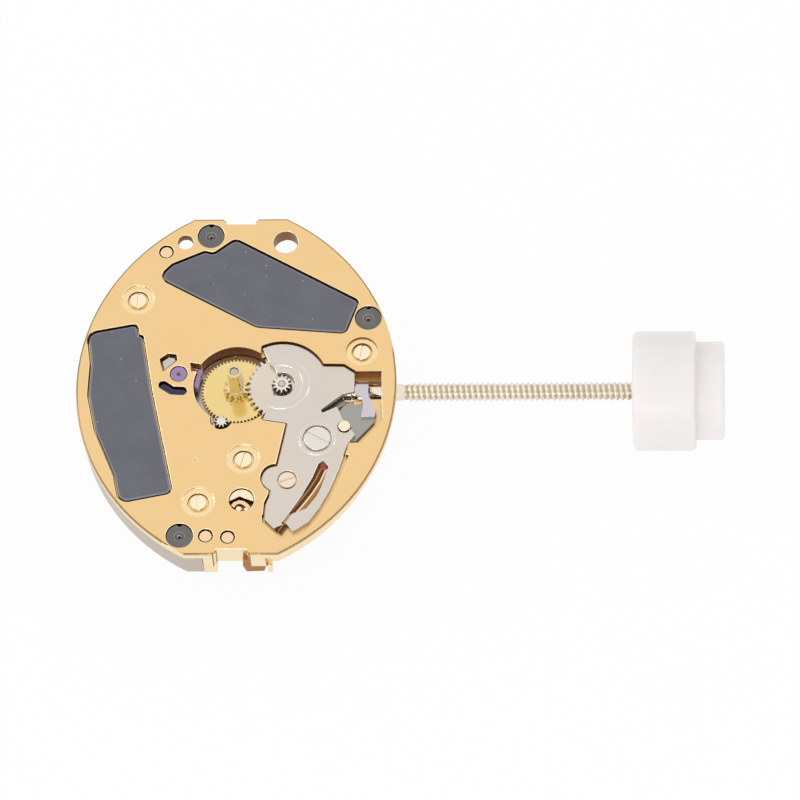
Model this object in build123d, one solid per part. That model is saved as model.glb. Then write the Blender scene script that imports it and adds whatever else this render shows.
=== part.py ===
from build123d import *

import math
import os

# Quartz watch movement, dial side up, in millimetres.
# The origin is where the hand axis meets the dial face. +X points along the stem to the crown
# side, +Y to 12 o'clock and +Z out of the dial face. Heights are negative below the dial face.

# General allowances
CUT_OVERRUN = 0.40
SEAT_GAP = 0.02
SLIDE_GAP = 0.03
PIVOT_GAP = 0.015

# Main plate
PLATE_WIDTH = 15.15
PLATE_LENGTH = 17.80
PLATE_FLAT = 4.40
PLATE_THICKNESS = 1.30
FLANGE_THICKNESS = 0.45
CORE_INSET = 0.25
PLATE_EDGE_CHAMFER = 0.04
NOTCH_WIDTH = 1.40
NOTCH_DEPTH = 0.28
NOTCH_CHAMFER = 0.16
HALF_WIDTH = PLATE_WIDTH / 2
HALF_LENGTH = PLATE_LENGTH / 2
HALF_FLAT = PLATE_FLAT / 2
SIDE_RADIUS = ((HALF_WIDTH - HALF_FLAT) ** 2 + HALF_LENGTH**2) / (2 * (HALF_WIDTH - HALF_FLAT))

# Plastic inserts in the two windows of the dial face
INSERT_DEPTH = 0.33
INSERT_SINK = 0.04
WINDOW_GAP = 0.09
TOP_INSERT_SHARES = [
    (-0.502, 0.650), (-0.422, 0.724), (-0.223, 0.800), (-0.165, 0.787), (-0.032, 0.874),
    (0.747, 0.499), (0.671, 0.312), (0.120, 0.351),
]
TOP_INSERT_CORNERS = [0.35, 0.40, 0.25, 0.35, 0.35, 0.22, 0.30, 0.90]
LEFT_INSERT_SHARES = [
    (-0.935, 0.312), (-0.636, 0.362), (-0.628, 0.300), (-0.600, 0.292), (-0.535, -0.029),
    (-0.383, -0.631), (-0.700, -0.688), (-0.737, -0.534), (-0.865, -0.270), (-0.917, -0.056),
    (-0.908, 0.135),
]
LEFT_INSERT_CORNERS = [0.45, 0.18, 0.05, 0.08, 2.00, 0.28, 0.45, 0.35, 1.60, 1.20, 1.20]

# Dial foot bushings
BUSHING_RADIUS = 0.62
BUSHING_BORE = 0.20
BUSHING_LENGTH = 1.00
BUSHING_SINK = 0.08
BUSHING_NOTCH = 0.11
BUSHING_PLACE_SHARES = [(-0.187, 0.898), (0.815, 0.398), (-0.323, -0.889)]

# Gold slotted screws and their stepped recesses
PLATE_SCREW_HEAD = 0.38
PLATE_SCREW_SHANK = 0.20
PLATE_SCREW_TOP = 0.10
PLATE_SCREW_HEAD_HEIGHT = 0.20
PLATE_SCREW_LENGTH = 1.12
SCREW_SLOT_WIDTH = 0.13
SCREW_SLOT_DEPTH = 0.09
SCREW_RECESS_RADIUS = 0.76
SCREW_RECESS_DEPTH = 0.12
SCREW_STEP_RADIUS = 0.50
PLATE_SCREW_PLACE_SHARES = [(-0.632, 0.515), (0.780, 0.197), (0.059, -0.438), (-0.214, -0.690)]
PLATE_SCREW_ANGLES = [88.0, 82.0, 76.0, 94.0]

# Plain holes and locating pins of the plate
BIG_HOLE_RADIUS = 0.58
BIG_HOLE_SHARE = (0.284, 0.858)
BIG_HOLE_WALL = 0.87
BIG_HOLE_RELIEF_RADIUS = 0.63
BIG_HOLE_RELIEF_SHIFT = (0.0, 0.17)
SMALL_HOLE_RADIUS = 0.37
SMALL_HOLE_SHARE = (-0.346, 0.861)
SMALL_HOLE_WALL = 0.50
SMALL_HOLE_RELIEF_HALF = 0.40
SMALL_HOLE_RELIEF_REACH = 0.80
PIN_RADIUS = 0.30
PIN_HOLE_GAP = 0.05
PIN_LENGTH = 0.80
PIN_SINK = 0.06
PIN_PLACE_SHARES = [(-0.465, 0.804), (-0.161, -0.889), (-0.024, -0.897)]
CONTACT_HOLE_RADIUS = 0.60
CONTACT_HOLE_SHARE = (0.055, -0.678)
CONTACT_BLOCK_WIDTH = 0.32
CONTACT_BLOCK_GAP = 0.14
CONTACT_BLOCK_SINK = 0.30
DIMPLE_RADIUS = 0.12
DIMPLE_DEPTH = 0.10
DIMPLE_SHARES = [(-0.238, -0.450), (-0.167, -0.148)]
SLANT_SLOT_SHARES = [
    (-0.484, 0.159), (-0.431, 0.192), (-0.380, 0.186), (-0.372, 0.152), (-0.462, 0.082),
]
SLANT_SLOT_DEPTH = 0.62
SLANT_BLADE_SINK = 0.22
SLANT_BLADE_INSET = 0.10
BEAN_SLOT_WIDTH = 0.44
BEAN_SLOT_REACH = 0.93
BEAN_SLOT_START = -140.0
BEAN_SLOT_SWEEP = 62.0
BEAN_SLOT_DEPTH = 0.60

# Going train, with the tooth counts that turn the rotor 90 times for one turn of the centre wheel
CENTER_TEETH = 60
THIRD_LEAVES = 10
CENTER_MODULE = 0.055
THIRD_TEETH = 36
INTERMEDIATE_LEAVES = 12
THIRD_MODULE = 0.0735
INTERMEDIATE_TEETH = 50
ROTOR_LEAVES = 10
INTERMEDIATE_MODULE = 0.050
CANNON_LEAVES = 12
MINUTE_TEETH = 36
MINUTE_MODULE = 0.0896
MINUTE_LEAVES = 12
MINUTE_PINION_MODULE = 0.068
THIRD_ANGLE = -110.2
INTERMEDIATE_ANGLE = 119.5
ROTOR_ANGLE = 143.5
MINUTE_ANGLE = 2.4
ROOT_DEPTH_SHARE = 1.15
TIP_HEIGHT_SHARE = 1.00
ROOT_HALF_WIDTH_SHARE = 0.31
TIP_HALF_WIDTH_SHARE = 0.13

# Heights of the train below the dial face
CENTER_POCKET_DEPTH = 0.95
CENTER_POCKET_RADIUS = 2.02
CENTER_NOTCH_SHARES = [(-0.293, 0.137), (-0.214, 0.124), (-0.211, 0.084), (-0.283, 0.085)]
CENTER_NOTCH_DEPTH = 0.60
CENTER_WHEEL_TOP = 0.65
CENTER_WHEEL_THICKNESS = 0.15
CENTER_HUB_RADIUS = 0.56
THIRD_PINION_TOP = 0.20
THIRD_PINION_BOTTOM = 0.86
THIRD_POCKET_RADIUS = 0.52
THIRD_ARBOR_RADIUS = 0.12
THIRD_WHEEL_TOP = 1.44
WHEEL_THICKNESS = 0.10
INTERMEDIATE_PINION_TOP = 1.42
INTERMEDIATE_WHEEL_TOP = 1.63
ROTOR_PINION_TOP = 1.58
ROTOR_PINION_LENGTH = 0.18
MAGNET_RADIUS = 0.48
MAGNET_TOP = 0.95
MAGNET_BOTTOM = 1.50
MAGNET_ROOM = 0.14
ARBOR_RADIUS = 0.09
PIVOT_RADIUS = 0.06
THIRD_SPOKES = 4
SPOKE_RIM = 0.28
SPOKE_HUB = 0.34
SPOKE_WIDTH = 0.16

# Centre tube, cannon pinion and minute wheel
TUBE_PLATE_THICKNESS = 0.08
TUBE_PLATE_MARGIN = 0.05
POST_RADIUS = 0.19
POST_TOP = 1.36
CANNON_BORE_GAP = 0.02
CANNON_BOTTOM = 0.62
CANNON_LEAF_TOP = 0.22
CANNON_TUBE_RADIUS = 0.35
CANNON_TOP = 1.42
MINUTE_WHEEL_TOP = 0.42
MINUTE_WHEEL_THICKNESS = 0.14
MINUTE_PINION_TOP = 0.06
MINUTE_POCKET_DEPTH = 0.64
MINUTE_POCKET_GAP = 0.08
MINUTE_STUD_RADIUS = 0.15
MINUTE_STUD_TOP = 0.03

# Rotor jewel and train jewels
JEWEL_RADIUS = 0.40
JEWEL_THICKNESS = 0.28
JEWEL_SINK = 0.03
TRAIN_JEWEL_RADIUS = 0.26

# Keyless works
STEM_HEIGHT = 0.84
KEYLESS_BRIDGE_TOP = 0.12
KEYLESS_BRIDGE_THICKNESS = 0.25
KEYLESS_POCKET_GAP = 0.08
KEYLESS_CORNER = 0.05
KEYLESS_LOBE_SHARE = (0.262, -0.549)
KEYLESS_LOBE_RADIUS = 0.64
KEYLESS_HEAD_RADIUS = 2.14
KEYLESS_HEAD_LEFT = 1.21
KEYLESS_JOIN_SHARE = 0.80
KEYLESS_JOIN_ANGLES = [121.0, 90.0, 38.0]
KEYLESS_BRIDGE_SHARES = [
    (0.545, 0.116),
    (0.668, 0.114), (0.737, 0.074), (0.737, -0.034), (0.660, -0.052), (0.532, -0.142),
    (0.540, -0.160), (0.632, -0.124), (0.664, -0.190), (0.748, -0.289), (0.704, -0.345),
    (0.652, -0.498), (0.595, -0.626), (0.537, -0.725), (0.472, -0.806), (0.378, -0.860),
    (0.333, -0.812), (0.258, -0.842), (0.200, -0.790), (0.206, -0.698), (0.232, -0.640),
    (0.236, -0.500), (0.271, -0.476), (0.328, -0.222), (0.170, -0.199), (0.202, -0.130),
]
PINION_WINDOW_RADIUS = 0.62
PINION_WINDOW_SHARES = [
    (0.120, 0.270), (0.160, 0.219), (0.203, 0.139), (0.238, 0.107), (0.257, 0.062),
    (0.257, -0.051), (0.231, -0.070), (0.172, -0.126), (0.120, -0.152),
]
EMBOSS_INNER = 0.98
EMBOSS_OUTER = 1.32
EMBOSS_HEIGHT = 0.06
LONG_SLOT_SHARES = [
    (0.555, -0.444), (0.588, -0.480), (0.552, -0.586), (0.512, -0.670), (0.462, -0.722),
    (0.400, -0.748), (0.374, -0.752), (0.324, -0.824), (0.305, -0.812), (0.362, -0.742), (0.424, -0.656),
    (0.489, -0.547), (0.526, -0.463),
]
SPRING_POCKET_SHARES = [
    (0.184, -0.775), (0.190, -0.812), (0.296, -0.906), (0.346, -0.916), (0.446, -0.885),
    (0.540, -0.786), (0.606, -0.683), (0.664, -0.554), (0.715, -0.416), (0.500, -0.400),
    (0.300, -0.600),
]
STEM_RECESS_SHARES = [(0.700, 0.078), (0.904, 0.078), (0.908, -0.115), (0.700, -0.115)]
LEVER_POCKET_SHARES = [
    (0.560, -0.060), (0.800, -0.060), (0.908, -0.110), (0.918, -0.205), (0.800, -0.345),
    (0.640, -0.350), (0.560, -0.220),
]
LEVER_POCKET_DEPTH = 0.60
BRIDGE_SCREW_SHARE = (0.514, -0.316)
BRIDGE_SCREW_HEAD = 0.62
BRIDGE_SCREW_SHANK = 0.34
BRIDGE_SCREW_RAISED = 0.02
BRIDGE_SCREW_HEAD_HEIGHT = 0.22
BRIDGE_SCREW_SINK_RADIUS = 0.70
BRIDGE_SCREW_RING = 0.86
BRIDGE_SCREW_LENGTH = 1.05
BRIDGE_SCREW_SLOT_WIDTH = 0.17
BRIDGE_SCREW_ANGLE = -30.0
SMALL_SCREW_SHARE = (0.334, -0.558)
SMALL_SCREW_BOSS = 0.74
SMALL_SCREW_HEAD = 0.40
SMALL_SCREW_SHANK = 0.20
SMALL_SCREW_HOLE = 0.48
SMALL_SCREW_ANGLE = 20.0
LEVER_PIN_SHARE = (0.681, -0.243)
LEVER_PIN_RADIUS = 0.28
LEVER_PIN_TOP = 0.02
LEVER_PIN_GAP = 0.02
LEVER_THICKNESS = 0.14
LEVER_FOOT_TOP = 0.39
LEVER_HEAD_TOP = 0.24
LEVER_FOOT_SHARES = [
    (0.640, -0.330), (0.748, -0.318), (0.865, -0.200), (0.875, -0.140), (0.800, -0.092),
    (0.672, -0.102), (0.600, -0.200),
]
LEVER_HEAD_SHARES = [
    (0.865, -0.180), (0.875, -0.140), (0.824, -0.050), (0.824, 0.014), (0.744, 0.014),
    (0.744, -0.050), (0.780, -0.056), (0.795, -0.105), (0.780, -0.180),
]
LEVER_BEND_SHARES = [(0.865, -0.180), (0.875, -0.140), (0.852, -0.100), (0.793, -0.100), (0.780, -0.180)]
LEVER_CORNER = 0.08
LEVER_STUD_RADIUS = 0.20
LEVER_STUD_GAP = 0.02
FORK_TRAVEL = 0.30
FORK_TOP = 0.62
FORK_THICKNESS = 0.16
FORK_WIDTH = 0.40
FORK_TONGUE_WIDTH = 0.14
FORK_START = 0.64
FORK_INNER_SHARE = (0.430, -0.190)

# Winding stem, sliding pinion and knob
STEM_SQUARE_ACROSS = 0.46
STEM_SQUARE_START = 3.95
STEM_SQUARE_END = 5.45
STEM_COLLAR_RADIUS = 0.40
STEM_GROOVE_RADIUS = 0.24
STEM_COLLAR_LENGTH = 0.28
STEM_GROOVE_LENGTH = 0.48
STEM_SHOULDER_END = 6.62
STEM_SHAFT_RADIUS = 0.40
STEM_BORE_GAP = 0.03
STEM_THREAD_START = 7.95
STEM_THREAD_MAJOR = 0.44
STEM_THREAD_PITCH = 0.27
STEM_THREAD_DEPTH = 0.10
STEM_THREAD_TURNS = 46
STEM_THREAD_END = STEM_THREAD_START + STEM_THREAD_PITCH * STEM_THREAD_TURNS
PINION_START = 4.22
PINION_LENGTH = 1.20
PINION_RADIUS = 0.40
PINION_GROOVE_RADIUS = 0.30
PINION_GROOVE_START = 0.62
PINION_GROOVE_LENGTH = 0.20
PINION_CROWN_TEETH = 10
PINION_CROWN_DEPTH = 0.14
PINION_SQUARE_GAP = 0.03
KNOB_START = 18.72
KNOB_RADIUS = 2.82
KNOB_LENGTH = 2.95
KNOB_STEP_RADIUS = 2.32
KNOB_STEP_LENGTH = 1.35
KNOB_EDGE = 0.12

# Coil, stator and their pocket in the underside of the plate
COIL_SHARE = -0.697
COIL_HEIGHT = 1.22
COIL_RADIUS = 0.60
COIL_START = -4.15
COIL_END = 2.25
COIL_FLANGE_LENGTH = 0.14
COIL_FLANGE_RADIUS = 0.66
COIL_CORE_WIDTH = 0.60
COIL_CORE_THICKNESS = 0.14
COIL_CORE_REACH = 0.80
COIL_POCKET_GAP = 0.08
STATOR_THICKNESS = 0.10
STATOR_END_REACH = 0.52
STATOR_END_MARGIN = 0.05
STATOR_END_WIDTH = 0.65
STATOR_COIL_GAP = 0.23
STATOR_LEG_WIDTH = 1.29
STATOR_RIM = 0.17
STATOR_SHOULDER = 0.83

# Cell, circuit and cover under the plate
CELL_RADIUS = 2.40
CELL_HEIGHT = 1.60
CELL_TOP = 0.42
CELL_SHARE = (0.363, 0.500)
CELL_POCKET_GAP = 0.06
CELL_CUP_SEAM = 0.28
CELL_CAP_STEP = 0.30
CLAMP_THICKNESS = 0.10
CLAMP_WIDTH = 1.30
CLAMP_SCREW_SHARE = (-0.105, 0.520)
CLAMP_END_SHARE = (0.560, 0.500)
BOARD_THICKNESS = 0.18
BOARD_GAP = 0.01
BOARD_SHARES = [
    (-0.370, -0.610), (-0.370, -0.455), (-0.119, -0.455), (0.079, -0.382), (0.740, -0.382),
    (0.647, -0.697), (0.422, -0.882), (-0.330, -0.882), (-0.590, -0.730), (-0.590, -0.620),
]
CHIP_RADIUS = 0.85
CHIP_HEIGHT = 0.30
CHIP_SHARE = (0.430, -0.560)
CRYSTAL_RADIUS = 0.50
CRYSTAL_LENGTH = 3.40
CRYSTAL_HEIGHT = 1.46
CRYSTAL_SHARE = (0.150, -0.790)
CRYSTAL_ROOM = 0.06
COVER_THICKNESS = 0.12
COVER_BOTTOM = 2.02
SKIRT_OUTSET = 0.09
SKIRT_THICKNESS = 0.12
SKIRT_TOP_GAP = 0.01
COVER_REGION_SHARES = [
    (-1.100, -0.270), (-0.640, -0.270), (-0.500, -0.520), (-0.180, -0.640), (-0.180, -1.100),
    (-1.100, -1.100),
]
TRAIN_BRIDGE_TOP = 1.80
TRAIN_BRIDGE_THICKNESS = 0.16
TRAIN_BRIDGE_SHARES = [
    (-0.480, 0.250), (-0.280, 0.300), (0.060, 0.060), (0.200, -0.250), (0.060, -0.420),
    (-0.220, -0.420), (-0.400, -0.200), (-0.520, 0.020),
]
TRAIN_BRIDGE_CORNER = 0.60
TRAIN_PILLAR_RADIUS = 0.42
TRAIN_SCREW_SHARES = [(-0.290, 0.240), (0.125, -0.300)]
TRAIN_SCREW_HEAD = 0.38
TRAIN_SCREW_SHANK = 0.19
TRAIN_SCREW_LENGTH = 0.85
TRAIN_SCREW_ANGLES = [15.0, 80.0]
SIDE_BLOCK_SHARES = [(-0.182, -0.095), (0.066, 0.214)]
SIDE_BLOCK_DEPTH = 0.60


def place(share):
    """The point of the plate at these shares of its half width and half length."""
    return (share[0] * HALF_WIDTH, share[1] * HALF_LENGTH)


def places(shares):
    """The points of a table of shares."""
    return [place(share) for share in shares]


def polar(centre, radius, degrees):
    """The point at this distance and direction from a centre."""
    turn = math.radians(degrees)
    return (centre[0] + radius * math.cos(turn), centre[1] + radius * math.sin(turn))


def disc(centre, radius, top, bottom):
    """An upright cylinder between two depths below the dial face."""
    solid = Cylinder(radius, bottom - top, align=(Align.CENTER, Align.CENTER, Align.MIN))
    return Pos(centre[0], centre[1], -bottom) * solid


def slab(sketch, top, bottom):
    """A flat outline given thickness between two depths below the dial face."""
    return Pos(0, 0, -bottom) * extrude(sketch, amount=bottom - top)


def polygon(points):
    """The face inside a closed row of points."""
    return make_face(Polyline(*points, close=True))


def rounded(points, corners):
    """The face inside a closed row of points, with a radius for each corner."""
    return make_face(FilletPolyline(*points, radius=corners, close=True))


def strip(start, end, width):
    """A straight band with round ends."""
    middle = ((start[0] + end[0]) / 2, (start[1] + end[1]) / 2)
    length = math.dist(start, end)
    turn = math.degrees(math.atan2(end[1] - start[1], end[0] - start[0]))
    return Pos(*middle) * Rot(0, 0, turn) * SlotCenterToCenter(length, width)


def single(shape):
    """The one solid of a shape."""
    return shape.solids()[0]


def barrel(inset):
    """The barrel outline of the plate: two side arcs and two flats, drawn in by an inset."""
    offset = SIDE_RADIUS - HALF_WIDTH
    left = Pos(offset, 0) * Circle(SIDE_RADIUS - inset)
    right = Pos(-offset, 0) * Circle(SIDE_RADIUS - inset)
    return left & right & Rectangle(PLATE_WIDTH, PLATE_LENGTH - 2 * inset)


def flat_notch(side):
    """The chamfered notch in the flat at 12 o'clock (side 1) or 6 o'clock (side -1)."""
    half = NOTCH_WIDTH / 2
    wide = half + NOTCH_CHAMFER
    edge = side * HALF_LENGTH
    inner = side * (HALF_LENGTH - NOTCH_DEPTH)
    middle = side * (HALF_LENGTH - NOTCH_CHAMFER)
    outer = side * (HALF_LENGTH + CUT_OVERRUN)
    points = [(-wide, outer), (-wide, edge), (-half, middle), (-half, inner)]
    return polygon(points + [(-x, y) for x, y in reversed(points)])


def tooth_ring(teeth, module, phase):
    """The toothed outline of a wheel or pinion, with one tooth centred at the phase angle."""
    root = module * (teeth / 2 - ROOT_DEPTH_SHARE)
    tip = module * (teeth / 2 + TIP_HEIGHT_SHARE)
    pitch = 360 / teeth
    points = []
    for tooth in range(teeth):
        angle = phase + tooth * pitch
        for radius, share in (
            (root, -ROOT_HALF_WIDTH_SHARE),
            (tip, -TIP_HALF_WIDTH_SHARE),
            (tip, TIP_HALF_WIDTH_SHARE),
            (root, ROOT_HALF_WIDTH_SHARE),
        ):
            points.append(polar((0, 0), radius, angle + share * pitch))
    return polygon(points)


def gear(centre, teeth, module, phase, top, bottom):
    """A toothed disc at a place, between two depths."""
    return Pos(*centre) * slab(tooth_ring(teeth, module, phase), top, bottom)


def mesh_phase(first_phase, first_teeth, direction, second_teeth):
    """The phase of a gear that meshes with a first gear, seen in a direction from it."""
    share = ((direction - first_phase) * first_teeth / 360) % 1
    return direction + 180 - (0.5 - share) * 360 / second_teeth


def centre_distance(first_teeth, second_teeth, module):
    """The distance between the axes of two meshed gears."""
    return module * (first_teeth + second_teeth) / 2


def tip_radius(teeth, module):
    """The outer radius of a gear."""
    return module * (teeth / 2 + TIP_HEIGHT_SHARE)


HAND_AXIS = (0.0, 0.0)
THIRD_PLACE = polar(
    HAND_AXIS, centre_distance(CENTER_TEETH, THIRD_LEAVES, CENTER_MODULE), THIRD_ANGLE
)
INTERMEDIATE_PLACE = polar(
    THIRD_PLACE,
    centre_distance(THIRD_TEETH, INTERMEDIATE_LEAVES, THIRD_MODULE),
    INTERMEDIATE_ANGLE,
)
ROTOR_PLACE = polar(
    INTERMEDIATE_PLACE,
    centre_distance(INTERMEDIATE_TEETH, ROTOR_LEAVES, INTERMEDIATE_MODULE),
    ROTOR_ANGLE,
)
MINUTE_PLACE = polar(
    HAND_AXIS, centre_distance(MINUTE_TEETH, CANNON_LEAVES, MINUTE_MODULE), MINUTE_ANGLE
)
THIRD_PHASE = mesh_phase(0, CENTER_TEETH, THIRD_ANGLE, THIRD_LEAVES)
INTERMEDIATE_PHASE = mesh_phase(0, THIRD_TEETH, INTERMEDIATE_ANGLE, INTERMEDIATE_LEAVES)
ROTOR_PHASE = mesh_phase(0, INTERMEDIATE_TEETH, ROTOR_ANGLE, ROTOR_LEAVES)
MINUTE_PHASE = mesh_phase(0, CANNON_LEAVES, MINUTE_ANGLE, MINUTE_TEETH)
LEVER_PIN_PLACE = place(LEVER_PIN_SHARE)
KEYLESS_BRIDGE_BOTTOM = KEYLESS_BRIDGE_TOP + KEYLESS_BRIDGE_THICKNESS
COIL_X = COIL_SHARE * HALF_WIDTH
CELL_PLACE = place(CELL_SHARE)
TRAIN_BRIDGE_BOTTOM = TRAIN_BRIDGE_TOP + TRAIN_BRIDGE_THICKNESS
CLAMP_SCREW_PLACE = place(CLAMP_SCREW_SHARE)
STEM_COLLAR_START = STEM_SQUARE_END
STEM_GROOVE_START = STEM_COLLAR_START + STEM_COLLAR_LENGTH
STEM_GROOVE_MIDDLE = STEM_GROOVE_START + STEM_GROOVE_LENGTH / 2
STUD_PLACE = (STEM_GROOVE_MIDDLE, 0.0)


def along_stem(radius, start, end):
    """A cylinder on the stem axis between two distances from the hand axis."""
    rod = Cylinder(radius, end - start, rotation=(0, 90, 0))
    return Pos((start + end) / 2, 0, -STEM_HEIGHT) * rod


def keyless_sketch():
    """The outline of the keyless bridge with the boss of its small screw and the lobe beside it."""
    boss = Pos(*place(SMALL_SCREW_SHARE)) * Circle(SMALL_SCREW_BOSS)
    boss += Pos(*place(KEYLESS_LOBE_SHARE)) * Circle(KEYLESS_LOBE_RADIUS)
    left, low = KEYLESS_HEAD_LEFT, MINUTE_PLACE[1]
    right, top = MINUTE_PLACE[0] + KEYLESS_HEAD_RADIUS, low + KEYLESS_HEAD_RADIUS
    head = polygon([(left, low), (left, top), (right, top), (right, low)])
    head &= Pos(*MINUTE_PLACE) * Circle(KEYLESS_HEAD_RADIUS)
    reach = KEYLESS_HEAD_RADIUS * KEYLESS_JOIN_SHARE
    join = [polar(MINUTE_PLACE, reach, turn) for turn in KEYLESS_JOIN_ANGLES]
    sketch = polygon(join + places(KEYLESS_BRIDGE_SHARES)) + head
    return fillet(sketch.vertices(), KEYLESS_CORNER) + boss


def bean_arc(width):
    """The bean-shaped slot that curves round the rotor jewel."""
    turns = [BEAN_SLOT_START, BEAN_SLOT_START + BEAN_SLOT_SWEEP / 2, BEAN_SLOT_START + BEAN_SLOT_SWEEP]
    first, middle, last = [polar(ROTOR_PLACE, BEAN_SLOT_REACH, turn) for turn in turns]
    return strip(first, middle, width) + strip(middle, last, width)


def main_plate():
    """The gold plate that carries everything, with every recess, window, bore and hole."""
    flange = slab(barrel(0), 0, FLANGE_THICKNESS)
    flange = chamfer(flange.faces().sort_by(Axis.Z)[-1].edges(), PLATE_EDGE_CHAMFER)
    core = slab(barrel(CORE_INSET), FLANGE_THICKNESS, PLATE_THICKNESS)
    plate = flange + core
    for low, high in SIDE_BLOCK_SHARES:
        middle = (low + high) / 2 * HALF_WIDTH
        block = Rectangle((high - low) * HALF_WIDTH, SIDE_BLOCK_DEPTH)
        block = Pos(middle, -HALF_LENGTH + SIDE_BLOCK_DEPTH / 2) * block
        plate += slab(block, FLANGE_THICKNESS, PLATE_THICKNESS)
    plate += [
        disc(place(share), TRAIN_PILLAR_RADIUS, PLATE_THICKNESS, TRAIN_BRIDGE_TOP)
        for share in TRAIN_SCREW_SHARES
    ]
    plate += disc(CLAMP_SCREW_PLACE, TRAIN_PILLAR_RADIUS, PLATE_THICKNESS, CELL_TOP + CELL_HEIGHT)

    cuts = [slab(flat_notch(side), -CUT_OVERRUN, PLATE_THICKNESS + CUT_OVERRUN) for side in (1, -1)]
    cuts += window_cuts() + screw_cuts() + train_cuts() + keyless_cuts() + underside_cuts()
    through = PLATE_THICKNESS + CUT_OVERRUN
    for share in BUSHING_PLACE_SHARES:
        cuts.append(disc(place(share), BUSHING_RADIUS + SEAT_GAP, -CUT_OVERRUN, through))
    return single(plate - cuts)


def window_cuts():
    """The two windows for the plastic inserts."""
    cuts = []
    for shares, corners in (
        (TOP_INSERT_SHARES, TOP_INSERT_CORNERS),
        (LEFT_INSERT_SHARES, LEFT_INSERT_CORNERS),
    ):
        face = offset(rounded(places(shares), corners), WINDOW_GAP)
        cuts.append(slab(face, -CUT_OVERRUN, INSERT_DEPTH + INSERT_SINK))
    return cuts


def screw_cuts():
    """Stepped recesses of the gold screws, pin holes, plain holes, slots and dimples."""
    through = PLATE_THICKNESS + CUT_OVERRUN
    step_depth = PLATE_SCREW_TOP + PLATE_SCREW_HEAD_HEIGHT
    cuts = []
    for share in PLATE_SCREW_PLACE_SHARES:
        centre = place(share)
        cuts.append(disc(centre, SCREW_RECESS_RADIUS, -CUT_OVERRUN, SCREW_RECESS_DEPTH))
        cuts.append(disc(centre, SCREW_STEP_RADIUS, -CUT_OVERRUN, step_depth))
        cuts.append(disc(centre, PLATE_SCREW_SHANK + SEAT_GAP, 0, through))
    for share in PIN_PLACE_SHARES:
        cuts.append(disc(place(share), PIN_RADIUS + PIN_HOLE_GAP, -CUT_OVERRUN, PIN_LENGTH + PIN_SINK))
    x, y = place(BIG_HOLE_SHARE)
    relief = (x + BIG_HOLE_RELIEF_SHIFT[0], y + BIG_HOLE_RELIEF_SHIFT[1])
    cuts.append(disc((x, y), BIG_HOLE_RADIUS, -CUT_OVERRUN, through))
    cuts.append(disc(relief, BIG_HOLE_RELIEF_RADIUS, BIG_HOLE_WALL, through))
    x, y = place(SMALL_HOLE_SHARE)
    half, reach = SMALL_HOLE_RELIEF_HALF, SMALL_HOLE_RELIEF_REACH
    relief = [(x - half, y - half), (x + half, y - half), (x + half, y + reach), (x - half, y + reach)]
    cuts.append(disc((x, y), SMALL_HOLE_RADIUS, -CUT_OVERRUN, through))
    cuts.append(slab(polygon(relief), SMALL_HOLE_WALL, through))
    cuts.append(disc(place(CONTACT_HOLE_SHARE), CONTACT_HOLE_RADIUS, -CUT_OVERRUN, through))
    for share in DIMPLE_SHARES:
        cuts.append(disc(place(share), DIMPLE_RADIUS, -CUT_OVERRUN, DIMPLE_DEPTH))
    cuts.append(slab(polygon(places(SLANT_SLOT_SHARES)), -CUT_OVERRUN, SLANT_SLOT_DEPTH))
    cuts.append(slab(bean_arc(BEAN_SLOT_WIDTH), -CUT_OVERRUN, BEAN_SLOT_DEPTH))
    return cuts


def train_cuts():
    """The pockets and holes of the wheels."""
    through = PLATE_THICKNESS + CUT_OVERRUN
    minute_radius = tip_radius(MINUTE_TEETH, MINUTE_MODULE) + MINUTE_POCKET_GAP
    return [
        disc(HAND_AXIS, CENTER_POCKET_RADIUS, -CUT_OVERRUN, CENTER_POCKET_DEPTH),
        slab(polygon(places(CENTER_NOTCH_SHARES)), -CUT_OVERRUN, CENTER_NOTCH_DEPTH),
        disc(HAND_AXIS, POST_RADIUS + SEAT_GAP, 0, through),
        disc(THIRD_PLACE, THIRD_POCKET_RADIUS, -CUT_OVERRUN, CENTER_POCKET_DEPTH),
        disc(THIRD_PLACE, THIRD_ARBOR_RADIUS + SLIDE_GAP, 0, through),
        disc(MINUTE_PLACE, minute_radius, KEYLESS_BRIDGE_TOP, MINUTE_POCKET_DEPTH),
        disc(MINUTE_PLACE, MINUTE_STUD_RADIUS + SEAT_GAP, 0, PLATE_THICKNESS - FLANGE_THICKNESS),
        disc(ROTOR_PLACE, JEWEL_RADIUS + SEAT_GAP, -CUT_OVERRUN, JEWEL_SINK + JEWEL_THICKNESS),
        disc(ROTOR_PLACE, ARBOR_RADIUS + SLIDE_GAP, 0, through),
        disc(ROTOR_PLACE, MAGNET_RADIUS + MAGNET_ROOM, MAGNET_TOP - SLIDE_GAP, through),
    ]


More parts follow.
